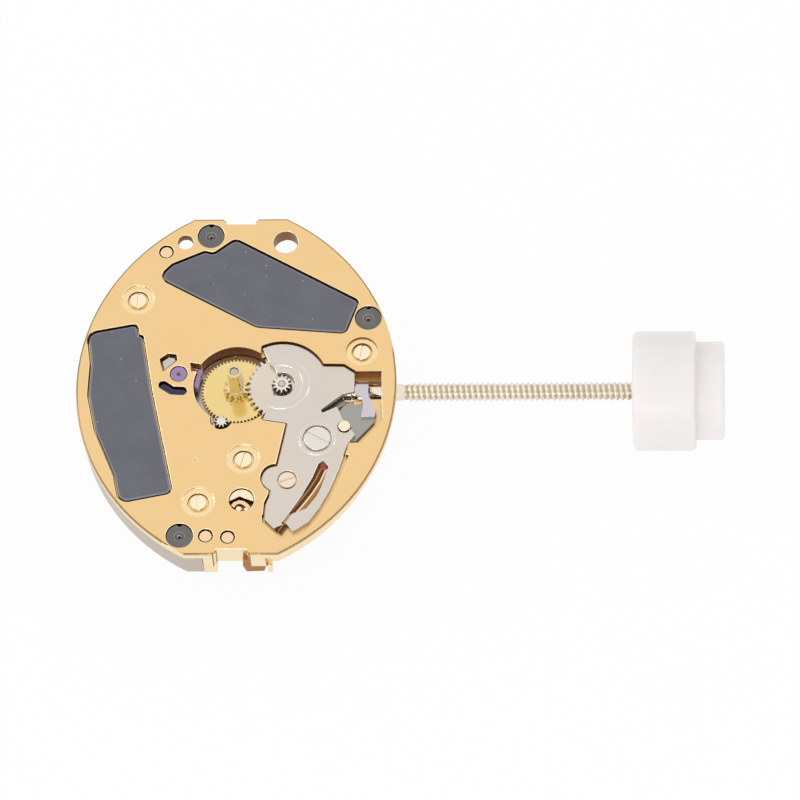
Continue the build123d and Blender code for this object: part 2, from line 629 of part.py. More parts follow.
def keyless_cuts():
    """The pocket of the keyless bridge, the stem recess and bore, and the holes of its screws."""
    pocket = offset(keyless_sketch(), KEYLESS_POCKET_GAP, kind=Kind.INTERSECTION)
    bore = STEM_SHAFT_RADIUS + STEM_BORE_GAP
    room = PINION_RADIUS + KEYLESS_POCKET_GAP
    recess_end = place(STEM_RECESS_SHARES[1])[0]
    slot_start = STEM_SQUARE_START - FORK_TRAVEL - SLIDE_GAP
    through = PLATE_THICKNESS + CUT_OVERRUN
    channel = Pos((slot_start + recess_end) / 2, 0) * Rectangle(recess_end - slot_start, 2 * room)
    fork_floor = FORK_TOP + FORK_THICKNESS + SEAT_GAP
    return [
        slab(pocket, -CUT_OVERRUN, KEYLESS_BRIDGE_BOTTOM),
        slab(polygon(places(SPRING_POCKET_SHARES)), -CUT_OVERRUN, KEYLESS_BRIDGE_BOTTOM),
        slab(polygon(places(STEM_RECESS_SHARES)), -CUT_OVERRUN, LEVER_POCKET_DEPTH),
        slab(polygon(places(LEVER_POCKET_SHARES)), -CUT_OVERRUN, LEVER_POCKET_DEPTH),
        slab(channel, KEYLESS_BRIDGE_TOP, through),
        along_stem(bore, recess_end - CUT_OVERRUN, HALF_WIDTH + CUT_OVERRUN),
        slab(fork_outline(KEYLESS_POCKET_GAP + FORK_TRAVEL), KEYLESS_BRIDGE_TOP, fork_floor),
        disc(place(BRIDGE_SCREW_SHARE), BRIDGE_SCREW_SHANK + SEAT_GAP, 0, through),
        disc(place(SMALL_SCREW_SHARE), SMALL_SCREW_SHANK + SEAT_GAP, 0, through),
        disc(LEVER_PIN_PLACE, LEVER_PIN_RADIUS + SEAT_GAP, 0, through),
    ]


def underside_cuts():
    """The pockets of the coil, the cell and the quartz can, open at the underside."""
    through = PLATE_THICKNESS + CUT_OVERRUN
    coil_low = COIL_START - COIL_CORE_REACH - COIL_POCKET_GAP
    coil_high = COIL_END + COIL_CORE_REACH + COIL_POCKET_GAP
    coil_room = Pos(COIL_X, (coil_low + coil_high) / 2) * Rectangle(
        2 * (COIL_FLANGE_RADIUS + COIL_POCKET_GAP), coil_high - coil_low
    )
    can = place(CRYSTAL_SHARE)
    can_room = Pos(*can) * Rectangle(
        CRYSTAL_LENGTH + 2 * CRYSTAL_ROOM, 2 * (CRYSTAL_RADIUS + CRYSTAL_ROOM)
    )
    cuts = [
        slab(coil_room, COIL_HEIGHT - COIL_FLANGE_RADIUS - COIL_POCKET_GAP, through),
        disc(CELL_PLACE, CELL_RADIUS + CELL_POCKET_GAP, CELL_TOP - SEAT_GAP, through),
        slab(can_room, CRYSTAL_HEIGHT - CRYSTAL_RADIUS - CRYSTAL_ROOM, through),
    ]
    screw_hole = TRAIN_SCREW_SHANK + SEAT_GAP
    for share in TRAIN_SCREW_SHARES:
        cuts.append(disc(place(share), screw_hole, FLANGE_THICKNESS, TRAIN_BRIDGE_BOTTOM))
    cell_bottom = CELL_TOP + CELL_HEIGHT
    cuts.append(disc(CLAMP_SCREW_PLACE, screw_hole, FLANGE_THICKNESS, cell_bottom + CUT_OVERRUN))
    return cuts


def insert(shares, corners):
    """A plastic insert that lies in its window a little below the dial face."""
    body = slab(rounded(places(shares), corners), INSERT_SINK, INSERT_SINK + INSERT_DEPTH)
    return single(body)


def top_insert():
    """The upper insert, over the button cell."""
    return insert(TOP_INSERT_SHARES, TOP_INSERT_CORNERS)


def left_insert():
    """The left insert, which covers the coil and leaves room for the plug beside it."""
    plug_room = slab(bean_arc(BEAN_SLOT_WIDTH + 2 * WINDOW_GAP), 0, PLATE_THICKNESS)
    return single(insert(LEFT_INSERT_SHARES, LEFT_INSERT_CORNERS) - plug_room)


def dial_foot_bushings():
    """Three plastic bushings with a bore for a dial foot and a small notch in the rim."""
    bushings = []
    for share in BUSHING_PLACE_SHARES:
        centre = place(share)
        body = disc(centre, BUSHING_RADIUS, BUSHING_SINK, BUSHING_SINK + BUSHING_LENGTH)
        body -= disc(centre, BUSHING_BORE, 0, PLATE_THICKNESS)
        notch = (centre[0], centre[1] + BUSHING_RADIUS)
        body -= disc(notch, BUSHING_NOTCH, 0, PLATE_THICKNESS)
        bushings.append(single(body))
    return Compound(children=bushings)


def slotted_screw(centre, head, shank, top, head_height, length, angle, slot_width):
    """A cheese-head screw with its slot on the dial side."""
    body = disc(centre, head, top, top + head_height)
    body += disc(centre, shank, top + head_height, top + length)
    slot = Pos(*centre) * Rot(0, 0, angle) * Rectangle(2 * (head + CUT_OVERRUN), slot_width)
    return single(body - slab(slot, top - CUT_OVERRUN, top + SCREW_SLOT_DEPTH))


def underside_screw(centre, seat, angle):
    """A cheese-head screw that is driven from the underside, with its head on a seat depth."""
    screw = slotted_screw(
        HAND_AXIS, TRAIN_SCREW_HEAD, TRAIN_SCREW_SHANK, 0, SCREW_SLOT_DEPTH * 2,
        TRAIN_SCREW_LENGTH, angle, SCREW_SLOT_WIDTH,
    )
    turned = Rot(180, 0, 0) * screw
    return Pos(centre[0], centre[1], -(seat + SCREW_SLOT_DEPTH * 2)) * turned


def plate_screws():
    """Four gold screws in the stepped recesses of the plate."""
    return Compound(children=[
        slotted_screw(
            place(share), PLATE_SCREW_HEAD, PLATE_SCREW_SHANK, PLATE_SCREW_TOP,
            PLATE_SCREW_HEAD_HEIGHT, PLATE_SCREW_LENGTH, angle, SCREW_SLOT_WIDTH,
        )
        for share, angle in zip(PLATE_SCREW_PLACE_SHARES, PLATE_SCREW_ANGLES)
    ])


def locating_pins():
    """Steel pins pressed into the plate, each standing on the floor of its hole."""
    return Compound(children=[
        disc(place(share), PIN_RADIUS, PIN_SINK, PIN_SINK + PIN_LENGTH) for share in PIN_PLACE_SHARES
    ])


def battery_contacts():
    """The two gold contact blades that show in the contact hole, joined below the plate."""
    centre = place(CONTACT_HOLE_SHARE)
    reach = CONTACT_HOLE_RADIUS - SLIDE_GAP
    hole = Pos(*centre) * Circle(reach)
    gap = Pos(*centre) * Rectangle(CONTACT_BLOCK_GAP, 2 * reach + CUT_OVERRUN)
    bars = Pos(*centre) * Rectangle(2 * CONTACT_BLOCK_WIDTH + CONTACT_BLOCK_GAP, 2 * reach)
    bottom = PLATE_THICKNESS - BOARD_GAP
    blades = slab(bars & hole, CONTACT_BLOCK_SINK, bottom) - slab(gap, 0, bottom - BOARD_THICKNESS)
    return single(blades)


def slot_blade():
    """The silver blade that shows in the slanted slot."""
    room = offset(polygon(places(SLANT_SLOT_SHARES)), -SLANT_BLADE_INSET)
    return single(slab(room, SLANT_BLADE_SINK, SLANT_SLOT_DEPTH))


def shock_plug():
    """The dark plug in the bean-shaped slot."""
    room = bean_arc(BEAN_SLOT_WIDTH - 2 * SLIDE_GAP)
    return single(slab(room, SLANT_BLADE_SINK, BEAN_SLOT_DEPTH))


def center_tube():
    """The nickel floor disc and the fixed post that the hand wheels turn on."""
    radius = CENTER_POCKET_RADIUS - TUBE_PLATE_MARGIN
    floor = disc(HAND_AXIS, radius, CENTER_POCKET_DEPTH - TUBE_PLATE_THICKNESS, CENTER_POCKET_DEPTH)
    floor -= disc(THIRD_PLACE, THIRD_POCKET_RADIUS, 0, PLATE_THICKNESS)
    floor -= disc(MINUTE_PLACE, MINUTE_STUD_RADIUS + SEAT_GAP, 0, PLATE_THICKNESS)
    return single(floor + disc(HAND_AXIS, POST_RADIUS, -POST_TOP, PLATE_THICKNESS))


def center_wheel():
    """The brass wheel that carries the minute hand."""
    bottom = CENTER_WHEEL_TOP + CENTER_WHEEL_THICKNESS
    wheel = gear(HAND_AXIS, CENTER_TEETH, CENTER_MODULE, 0, CENTER_WHEEL_TOP, bottom)
    hub_bottom = CENTER_POCKET_DEPTH - TUBE_PLATE_THICKNESS - SLIDE_GAP
    wheel += disc(HAND_AXIS, CENTER_HUB_RADIUS, bottom, hub_bottom)
    return single(wheel - disc(HAND_AXIS, POST_RADIUS + CANNON_BORE_GAP, 0, PLATE_THICKNESS))


def cannon_pinion():
    """The leaved pinion and tube that the minute hand is pressed on."""
    body = gear(HAND_AXIS, CANNON_LEAVES, MINUTE_MODULE, 0, CANNON_LEAF_TOP, CANNON_BOTTOM)
    body += disc(HAND_AXIS, CANNON_TUBE_RADIUS, -CANNON_TOP, CANNON_BOTTOM)
    bore = disc(HAND_AXIS, POST_RADIUS + CANNON_BORE_GAP, -CANNON_TOP - CUT_OVERRUN, CANNON_BOTTOM)
    return single(body - bore)


def minute_wheel():
    """The steel wheel with its leaved pinion, on a fixed stud beside the hand axis."""
    bottom = MINUTE_WHEEL_TOP + MINUTE_WHEEL_THICKNESS
    wheel = gear(MINUTE_PLACE, MINUTE_TEETH, MINUTE_MODULE, MINUTE_PHASE, MINUTE_WHEEL_TOP, bottom)
    wheel += gear(MINUTE_PLACE, MINUTE_LEAVES, MINUTE_PINION_MODULE, 0, MINUTE_PINION_TOP, MINUTE_WHEEL_TOP)
    return single(wheel - disc(MINUTE_PLACE, MINUTE_STUD_RADIUS + CANNON_BORE_GAP, 0, PLATE_THICKNESS))


def minute_stud():
    """The fixed stud of the minute wheel."""
    return disc(MINUTE_PLACE, MINUTE_STUD_RADIUS, MINUTE_STUD_TOP, PLATE_THICKNESS - FLANGE_THICKNESS)


def spoke_windows(centre, outer, top, bottom):
    """The openings between the spokes of a wheel."""
    ring = Circle(outer) - Circle(SPOKE_HUB)
    for spoke in range(THIRD_SPOKES // 2):
        ring -= Rot(0, 0, spoke * 360 / THIRD_SPOKES) * Rectangle(2 * outer + CUT_OVERRUN, SPOKE_WIDTH)
    return Pos(*centre) * slab(ring, top, bottom)


def arbor(centre, top, bottom):
    """An arbor with a finer pivot that runs in a jewel of the train bridge."""
    shaft = disc(centre, ARBOR_RADIUS, top, bottom)
    return shaft + disc(centre, PIVOT_RADIUS, bottom, TRAIN_BRIDGE_BOTTOM)


def third_wheel():
    """The wheel under the plate whose pinion stands in the centre pocket."""
    bottom = THIRD_WHEEL_TOP + WHEEL_THICKNESS
    outer = tip_radius(THIRD_TEETH, THIRD_MODULE) - SPOKE_RIM
    wheel = gear(THIRD_PLACE, THIRD_TEETH, THIRD_MODULE, 0, THIRD_WHEEL_TOP, bottom)
    wheel -= spoke_windows(THIRD_PLACE, outer, THIRD_WHEEL_TOP, bottom)
    wheel += gear(
        THIRD_PLACE, THIRD_LEAVES, CENTER_MODULE, THIRD_PHASE, THIRD_PINION_TOP, THIRD_PINION_BOTTOM
    )
    wheel += disc(THIRD_PLACE, THIRD_ARBOR_RADIUS, THIRD_PINION_BOTTOM, bottom)
    return single(wheel + arbor(THIRD_PLACE, bottom, TRAIN_BRIDGE_TOP))


def intermediate_wheel():
    """The wheel between the rotor and the third wheel."""
    bottom = INTERMEDIATE_WHEEL_TOP + WHEEL_THICKNESS
    wheel = gear(
        INTERMEDIATE_PLACE, INTERMEDIATE_TEETH, INTERMEDIATE_MODULE, 0, INTERMEDIATE_WHEEL_TOP, bottom
    )
    outer = tip_radius(INTERMEDIATE_TEETH, INTERMEDIATE_MODULE) - SPOKE_RIM
    wheel -= spoke_windows(INTERMEDIATE_PLACE, outer, INTERMEDIATE_WHEEL_TOP, bottom)
    wheel += disc(INTERMEDIATE_PLACE, SPOKE_HUB, INTERMEDIATE_WHEEL_TOP, bottom)
    wheel += gear(
        INTERMEDIATE_PLACE, INTERMEDIATE_LEAVES, THIRD_MODULE, INTERMEDIATE_PHASE,
        INTERMEDIATE_PINION_TOP, INTERMEDIATE_WHEEL_TOP,
    )
    pivot_top = PLATE_THICKNESS - SCREW_RECESS_DEPTH
    wheel += disc(INTERMEDIATE_PLACE, PIVOT_RADIUS, pivot_top, INTERMEDIATE_PINION_TOP)
    return single(wheel + arbor(INTERMEDIATE_PLACE, bottom, TRAIN_BRIDGE_TOP))


def rotor():
    """The magnet of the stepping motor with its pinion and arbor."""
    body = disc(ROTOR_PLACE, MAGNET_RADIUS, MAGNET_TOP, MAGNET_BOTTOM)
    body += gear(
        ROTOR_PLACE, ROTOR_LEAVES, INTERMEDIATE_MODULE, ROTOR_PHASE,
        ROTOR_PINION_TOP, ROTOR_PINION_TOP + ROTOR_PINION_LENGTH,
    )
    body += disc(ROTOR_PLACE, ARBOR_RADIUS, MAGNET_BOTTOM, ROTOR_PINION_TOP)
    body += disc(ROTOR_PLACE, PIVOT_RADIUS, JEWEL_SINK + PIVOT_RADIUS, MAGNET_TOP)
    return single(body + arbor(ROTOR_PLACE, ROTOR_PINION_TOP + ROTOR_PINION_LENGTH, TRAIN_BRIDGE_TOP))


def rotor_jewel():
    """The purple bearing jewel of the rotor in the dial face."""
    jewel = disc(ROTOR_PLACE, JEWEL_RADIUS, JEWEL_SINK, JEWEL_SINK + JEWEL_THICKNESS)
    return single(jewel - disc(ROTOR_PLACE, PIVOT_RADIUS + PIVOT_GAP, 0, PLATE_THICKNESS))


def train_jewels():
    """The jewels of the three arbors in the train bridge."""
    jewels = []
    for centre in (THIRD_PLACE, INTERMEDIATE_PLACE, ROTOR_PLACE):
        jewel = disc(centre, TRAIN_JEWEL_RADIUS, TRAIN_BRIDGE_TOP + PIVOT_GAP, TRAIN_BRIDGE_BOTTOM)
        jewel -= disc(centre, PIVOT_RADIUS + PIVOT_GAP, TRAIN_BRIDGE_TOP, TRAIN_BRIDGE_BOTTOM)
        jewels.append(single(jewel))
    return Compound(children=jewels)


def train_bridge():
    """The gold bridge under the plate that carries the lower pivots of the train."""
    outline = polygon(places(TRAIN_BRIDGE_SHARES))
    outline = fillet(outline.vertices(), TRAIN_BRIDGE_CORNER)
    bridge = slab(outline, TRAIN_BRIDGE_TOP, TRAIN_BRIDGE_BOTTOM)
    bridge += [
        disc(place(share), TRAIN_PILLAR_RADIUS + SCREW_RECESS_DEPTH, TRAIN_BRIDGE_TOP, TRAIN_BRIDGE_BOTTOM)
        for share in TRAIN_SCREW_SHARES
    ]
    for centre in (THIRD_PLACE, INTERMEDIATE_PLACE, ROTOR_PLACE):
        bridge -= disc(centre, TRAIN_JEWEL_RADIUS + SEAT_GAP, 0, TRAIN_BRIDGE_BOTTOM + CUT_OVERRUN)
    for share in TRAIN_SCREW_SHARES:
        bridge -= disc(place(share), TRAIN_SCREW_SHANK + SEAT_GAP, 0, TRAIN_BRIDGE_BOTTOM + CUT_OVERRUN)
    return single(bridge)


def train_bridge_screws():
    """Two screws that hold the train bridge on its pillars."""
    return Compound(children=[
        underside_screw(place(share), TRAIN_BRIDGE_BOTTOM, angle)
        for share, angle in zip(TRAIN_SCREW_SHARES, TRAIN_SCREW_ANGLES)
    ])


def keyless_bridge():
    """The steel plate over the keyless works, with embossed rings and a spring arm."""
    bridge = slab(keyless_sketch(), KEYLESS_BRIDGE_TOP, KEYLESS_BRIDGE_BOTTOM)
    ring = Circle(EMBOSS_OUTER) - Circle(EMBOSS_INNER)
    raised = slab(
        keyless_sketch() & (Pos(*MINUTE_PLACE) * ring),
        KEYLESS_BRIDGE_TOP - EMBOSS_HEIGHT,
        KEYLESS_BRIDGE_TOP,
    )
    screw_ring = disc(
        place(BRIDGE_SCREW_SHARE), BRIDGE_SCREW_RING, KEYLESS_BRIDGE_TOP - EMBOSS_HEIGHT, KEYLESS_BRIDGE_TOP
    )
    bridge += raised
    bridge += screw_ring
    bottom = KEYLESS_BRIDGE_BOTTOM + CUT_OVERRUN
    bridge -= disc(MINUTE_PLACE, PINION_WINDOW_RADIUS, -CUT_OVERRUN, bottom)
    bridge -= slab(polygon(places(PINION_WINDOW_SHARES)), -CUT_OVERRUN, bottom)
    bridge -= slab(polygon(places(LONG_SLOT_SHARES)), -CUT_OVERRUN, bottom)
    seat = KEYLESS_BRIDGE_TOP - BRIDGE_SCREW_RAISED - EMBOSS_HEIGHT + BRIDGE_SCREW_HEAD_HEIGHT
    bridge -= disc(place(BRIDGE_SCREW_SHARE), BRIDGE_SCREW_SINK_RADIUS, -CUT_OVERRUN, seat)
    bridge -= disc(place(BRIDGE_SCREW_SHARE), BRIDGE_SCREW_SHANK + SEAT_GAP, -CUT_OVERRUN, bottom)
    bridge -= disc(place(SMALL_SCREW_SHARE), SMALL_SCREW_HOLE, -CUT_OVERRUN, bottom)
    bridge -= disc(LEVER_PIN_PLACE, LEVER_PIN_RADIUS + PIN_HOLE_GAP, -CUT_OVERRUN, bottom)
    return single(bridge)


def bridge_screw():
    """The large steel screw of the keyless bridge."""
    top = KEYLESS_BRIDGE_TOP - BRIDGE_SCREW_RAISED - EMBOSS_HEIGHT
    return slotted_screw(
        place(BRIDGE_SCREW_SHARE), BRIDGE_SCREW_HEAD, BRIDGE_SCREW_SHANK, top,
        BRIDGE_SCREW_HEAD_HEIGHT, BRIDGE_SCREW_LENGTH, BRIDGE_SCREW_ANGLE, BRIDGE_SCREW_SLOT_WIDTH,
    )


def keyless_small_screw():
    """The small gold screw that shows through the keyless bridge."""
    return slotted_screw(
        place(SMALL_SCREW_SHARE), SMALL_SCREW_HEAD, SMALL_SCREW_SHANK, KEYLESS_BRIDGE_TOP,
        KEYLESS_BRIDGE_THICKNESS, BRIDGE_SCREW_LENGTH, SMALL_SCREW_ANGLE, SCREW_SLOT_WIDTH,
    )


def lever_pin():
    """The fixed pin that the setting lever turns on."""
    return disc(LEVER_PIN_PLACE, LEVER_PIN_RADIUS, LEVER_PIN_TOP, PLATE_THICKNESS)


def setting_lever():
    """The bent lever whose foot turns on its pin and whose stud sits in the groove of the stem."""
    foot_bottom = LEVER_FOOT_TOP + LEVER_THICKNESS
    head_bottom = LEVER_HEAD_TOP + LEVER_THICKNESS
    foot = polygon(places(LEVER_FOOT_SHARES))
    foot = fillet(foot.vertices(), LEVER_CORNER)
    lever = slab(foot, LEVER_FOOT_TOP, foot_bottom)
    lever += slab(polygon(places(LEVER_HEAD_SHARES)), LEVER_HEAD_TOP, head_bottom)
    lever += slab(polygon(places(LEVER_BEND_SHARES)), LEVER_HEAD_TOP, foot_bottom)
    stud_bottom = STEM_HEIGHT - STEM_GROOVE_RADIUS - LEVER_STUD_GAP
    lever += disc(STUD_PLACE, LEVER_STUD_RADIUS, head_bottom, stud_bottom)
    return single(lever - disc(LEVER_PIN_PLACE, LEVER_PIN_RADIUS + LEVER_PIN_GAP, 0, PLATE_THICKNESS))


def fork_groove():
    """The distance of the middle of the pinion groove from the hand axis."""
    return PINION_START + PINION_GROOVE_START + PINION_GROOVE_LENGTH / 2


def fork_outline(margin):
    """The flat outline of the shift fork, grown by a margin."""
    return strip((fork_groove(), -FORK_START), place(FORK_INNER_SHARE), FORK_WIDTH + 2 * margin)


def shift_fork():
    """The fork that moves the sliding pinion along the stem."""
    bottom = FORK_TOP + FORK_THICKNESS
    inner = PINION_GROOVE_RADIUS + SLIDE_GAP
    tongue = Pos(fork_groove(), -(inner + FORK_START) / 2) * Rectangle(FORK_TONGUE_WIDTH, FORK_START - inner)
    return single(slab(fork_outline(0), FORK_TOP, bottom) + slab(tongue, FORK_TOP, bottom))


def sliding_pinion():
    """The pinion on the square of the stem, with contrate teeth and a groove for the fork."""
    start, end = PINION_START, PINION_START + PINION_LENGTH
    groove = start + PINION_GROOVE_START
    body = along_stem(PINION_RADIUS, start, groove)
    body += along_stem(PINION_GROOVE_RADIUS, groove, groove + PINION_GROOVE_LENGTH)
    body += along_stem(PINION_RADIUS, groove + PINION_GROOVE_LENGTH, end)
    across = STEM_SQUARE_ACROSS + 2 * PINION_SQUARE_GAP
    body -= Pos((start + end) / 2, 0, -STEM_HEIGHT) * Box(PINION_LENGTH + CUT_OVERRUN, across, across)
    pitch = 360 / PINION_CROWN_TEETH
    gap = math.pi * PINION_RADIUS / PINION_CROWN_TEETH
    reach = PINION_RADIUS + CUT_OVERRUN
    for tooth in range(PINION_CROWN_TEETH):
        notch = Pos(PINION_CROWN_DEPTH / 2, 0, reach / 2) * Box(PINION_CROWN_DEPTH, gap, reach)
        body -= Pos(start, 0, -STEM_HEIGHT) * Rot(tooth * pitch, 0, 0) * notch
    return single(body)


def thread_profile():
    """The zigzag of the stem thread from the axis outwards, as a closed row of points."""
    root = STEM_THREAD_MAJOR - STEM_THREAD_DEPTH
    points = [(STEM_THREAD_START, 0), (STEM_THREAD_START, root)]
    for turn in range(STEM_THREAD_TURNS):
        left = STEM_THREAD_START + turn * STEM_THREAD_PITCH
        points.append((left + STEM_THREAD_PITCH / 2, STEM_THREAD_MAJOR))
        points.append((left + STEM_THREAD_PITCH, root))
    points.append((STEM_THREAD_END, 0))
    return points


def winding_stem():
    """The long stem with its square, groove, bearing shaft and thread."""
    square_length = STEM_SQUARE_END - STEM_SQUARE_START
    stem = Pos(STEM_SQUARE_START + square_length / 2, 0, -STEM_HEIGHT) * Box(
        square_length, STEM_SQUARE_ACROSS, STEM_SQUARE_ACROSS
    )
    groove_end = STEM_GROOVE_START + STEM_GROOVE_LENGTH
    stem += along_stem(STEM_COLLAR_RADIUS, STEM_COLLAR_START, STEM_GROOVE_START)
    stem += along_stem(STEM_GROOVE_RADIUS, STEM_GROOVE_START, groove_end)
    stem += along_stem(STEM_COLLAR_RADIUS, groove_end, STEM_SHOULDER_END)
    stem += along_stem(STEM_SHAFT_RADIUS, STEM_SHOULDER_END, STEM_THREAD_START)
    profile = make_face(Polyline(*thread_profile(), close=True))
    stem += Pos(0, 0, -STEM_HEIGHT) * revolve(profile, axis=Axis.X)
    return single(stem)


def stem_knob():
    """The translucent protective knob on the end of the stem."""
    middle = KNOB_START + KNOB_LENGTH
    big = chamfer(along_stem(KNOB_RADIUS, KNOB_START, middle).edges().filter_by(GeomType.CIRCLE), KNOB_EDGE)
    small = along_stem(KNOB_STEP_RADIUS, middle, middle + KNOB_STEP_LENGTH)
    small = chamfer(small.edges().filter_by(GeomType.CIRCLE).sort_by(Axis.X)[-1:], KNOB_EDGE)
    bore = along_stem(STEM_THREAD_MAJOR + SEAT_GAP, KNOB_START - CUT_OVERRUN, STEM_THREAD_END + SEAT_GAP)
    return single(big + small - bore)


def coil_core():
    """The flat iron core of the coil, whose ends lie on the stator."""
    low, high = COIL_START - COIL_CORE_REACH, COIL_END + COIL_CORE_REACH
    bar = Pos(COIL_X, (low + high) / 2) * Rectangle(COIL_CORE_WIDTH, high - low)
    return single(slab(bar, PLATE_THICKNESS - COIL_CORE_THICKNESS, PLATE_THICKNESS))


def coil_winding():
    """The wound body of the coil between its two flanges."""
    def along_y(radius, low, high):
        rod = Cylinder(radius, high - low, rotation=(90, 0, 0))
        return Pos(COIL_X, (low + high) / 2, -COIL_HEIGHT) * rod

    body = along_y(COIL_RADIUS, COIL_START, COIL_END)
    body += along_y(COIL_FLANGE_RADIUS, COIL_START, COIL_START + COIL_FLANGE_LENGTH)
    body += along_y(COIL_FLANGE_RADIUS, COIL_END - COIL_FLANGE_LENGTH, COIL_END)
    core_room = Pos(COIL_X, (COIL_START + COIL_END) / 2) * Rectangle(
        COIL_CORE_WIDTH + 2 * SEAT_GAP, COIL_END - COIL_START + CUT_OVERRUN
    )
    top = PLATE_THICKNESS - COIL_CORE_THICKNESS - SEAT_GAP
    return single(body - slab(core_room, top, PLATE_THICKNESS + SEAT_GAP))


def stator():
    """The stator sheet, with the bore of the rotor."""
    bottom = PLATE_THICKNESS + STATOR_THICKNESS
    bore = MAGNET_RADIUS + MAGNET_ROOM
    outer = COIL_X - STATOR_END_REACH
    inner = COIL_X + COIL_FLANGE_RADIUS + STATOR_COIL_GAP
    leg = inner + STATOR_LEG_WIDTH
    high = COIL_END + COIL_CORE_REACH + STATOR_END_MARGIN
    low = COIL_START - COIL_CORE_REACH - STATOR_END_MARGIN
    right = ROTOR_PLACE[0] + bore + STATOR_RIM
    top, under = ROTOR_PLACE[1] + bore + STATOR_RIM, ROTOR_PLACE[1] - bore - STATOR_RIM
    points = [(outer, high), (leg, high), (right, top), (right, under), (leg, under - STATOR_SHOULDER)]
    points += [(leg, low), (outer, low), (outer, low + STATOR_END_WIDTH), (inner, low + STATOR_END_WIDTH)]
    points += [(inner, high - STATOR_END_WIDTH), (outer, high - STATOR_END_WIDTH)]
    sheet = slab(polygon(points), PLATE_THICKNESS, bottom)
    sheet -= disc(ROTOR_PLACE, bore, 0, bottom + CUT_OVERRUN)
    for share in TRAIN_SCREW_SHARES:
        sheet -= disc(place(share), TRAIN_PILLAR_RADIUS + SEAT_GAP, 0, bottom + CUT_OVERRUN)
    return single(sheet)


def button_cell():
    """The cell: a steel can with a smaller cap on the dial side."""
    bottom = CELL_TOP + CELL_HEIGHT
    cell = disc(CELL_PLACE, CELL_RADIUS, CELL_TOP + CELL_CUP_SEAM, bottom)
    cell += disc(CELL_PLACE, CELL_RADIUS - CELL_CAP_STEP, CELL_TOP, CELL_TOP + CELL_CUP_SEAM)
    return single(cell)


def cell_clamp():
    """The strap over the cell, screwed to its pillar."""
    top = CELL_TOP + CELL_HEIGHT
    strap = slab(strip(CLAMP_SCREW_PLACE, place(CLAMP_END_SHARE), CLAMP_WIDTH), top, top + CLAMP_THICKNESS)
    strap -= disc(CLAMP_SCREW_PLACE, TRAIN_SCREW_SHANK + SEAT_GAP, 0, top + CLAMP_THICKNESS + CUT_OVERRUN)
    return single(strap)


def cell_clamp_screw():
    """The screw of the cell strap."""
    return underside_screw(CLAMP_SCREW_PLACE, CELL_TOP + CELL_HEIGHT + CLAMP_THICKNESS, TRAIN_SCREW_ANGLES[0])


def board_sketch():
    """The outline of the circuit board with a cut-out for the quartz can."""
    can_room = Pos(*place(CRYSTAL_SHARE)) * Rectangle(
        CRYSTAL_LENGTH + 2 * CRYSTAL_ROOM, 2 * (CRYSTAL_RADIUS + CRYSTAL_ROOM)
    )
    return polygon(places(BOARD_SHARES)) - can_room


def circuit_board():
    """The circuit board under the plate."""
    top = PLATE_THICKNESS + BOARD_GAP
    return single(slab(board_sketch(), top, top + BOARD_THICKNESS))


def circuit_chip():
    """The moulded chip on the circuit board."""
    top = PLATE_THICKNESS + BOARD_GAP + BOARD_THICKNESS
    chip = disc(place(CHIP_SHARE), CHIP_RADIUS, top, top + CHIP_HEIGHT)
    return single(fillet(chip.faces().sort_by(Axis.Z)[0].edges(), CHIP_HEIGHT / 2))


def quartz_crystal():
    """The quartz can that lies in the cut-out of the board."""
    can = Cylinder(CRYSTAL_RADIUS, CRYSTAL_LENGTH, rotation=(0, 90, 0))
    x, y = place(CRYSTAL_SHARE)
    return Pos(x, y, -CRYSTAL_HEIGHT) * can


def circuit_cover():
    """The nickel cover with a skirt that shows under the flange at the lower left."""
    region = polygon(places(COVER_REGION_SHARES))
    outer = barrel(SKIRT_OUTSET)
    inner = barrel(SKIRT_OUTSET + SKIRT_THICKNESS)
    skirt_top = FLANGE_THICKNESS + SKIRT_TOP_GAP
    skirt = slab((outer - inner) & region, skirt_top, COVER_BOTTOM)
    floor = slab(outer & region, COVER_BOTTOM - COVER_THICKNESS, COVER_BOTTOM)
    bushing_end = BUSHING_SINK + BUSHING_LENGTH + SEAT_GAP
    for share in BUSHING_PLACE_SHARES:
        skirt -= disc(place(share), BUSHING_RADIUS + SEAT_GAP, 0, bushing_end)
    return single(skirt + floor)


PIECES = {
    "main_plate": main_plate,
    "top_insert": top_insert,
    "left_insert": left_insert,
    "dial_foot_bushings": dial_foot_bushings,
    "plate_screws": plate_screws,
    "locating_pins": locating_pins,
    "battery_contacts": battery_contacts,
    "slot_blade": slot_blade,
    "shock_plug": shock_plug,
    "center_tube": center_tube,
    "center_wheel": center_wheel,
    "cannon_pinion": cannon_pinion,
    "minute_wheel": minute_wheel,
    "minute_stud": minute_stud,
    "third_wheel": third_wheel,
    "intermediate_wheel": intermediate_wheel,
    "rotor": rotor,
    "rotor_jewel": rotor_jewel,
    "train_jewels": train_jewels,
    "train_bridge": train_bridge,
    "train_bridge_screws": train_bridge_screws,
    "keyless_bridge": keyless_bridge,
    "bridge_screw": bridge_screw,
    "keyless_small_screw": keyless_small_screw,
    "lever_pin": lever_pin,
    "setting_lever": setting_lever,
    "shift_fork": shift_fork,
    "sliding_pinion": sliding_pinion,
    "winding_stem": winding_stem,
    "stem_knob": stem_knob,
    "coil_core": coil_core,
    "coil_winding": coil_winding,
    "stator": stator,
    "button_cell": button_cell,
    "cell_clamp": cell_clamp,
    "cell_clamp_screw": cell_clamp_screw,
    "circuit_board": circuit_board,
    "circuit_chip": circuit_chip,
    "quartz_crystal": quartz_crystal,
    "circuit_cover": circuit_cover,
}


def main():
    """Builds every piece and writes it to its own file."""
    os.makedirs("parts", exist_ok=True)
    for name, build in PIECES.items():
        export_step(build(), f"parts/{name}.step")


main()
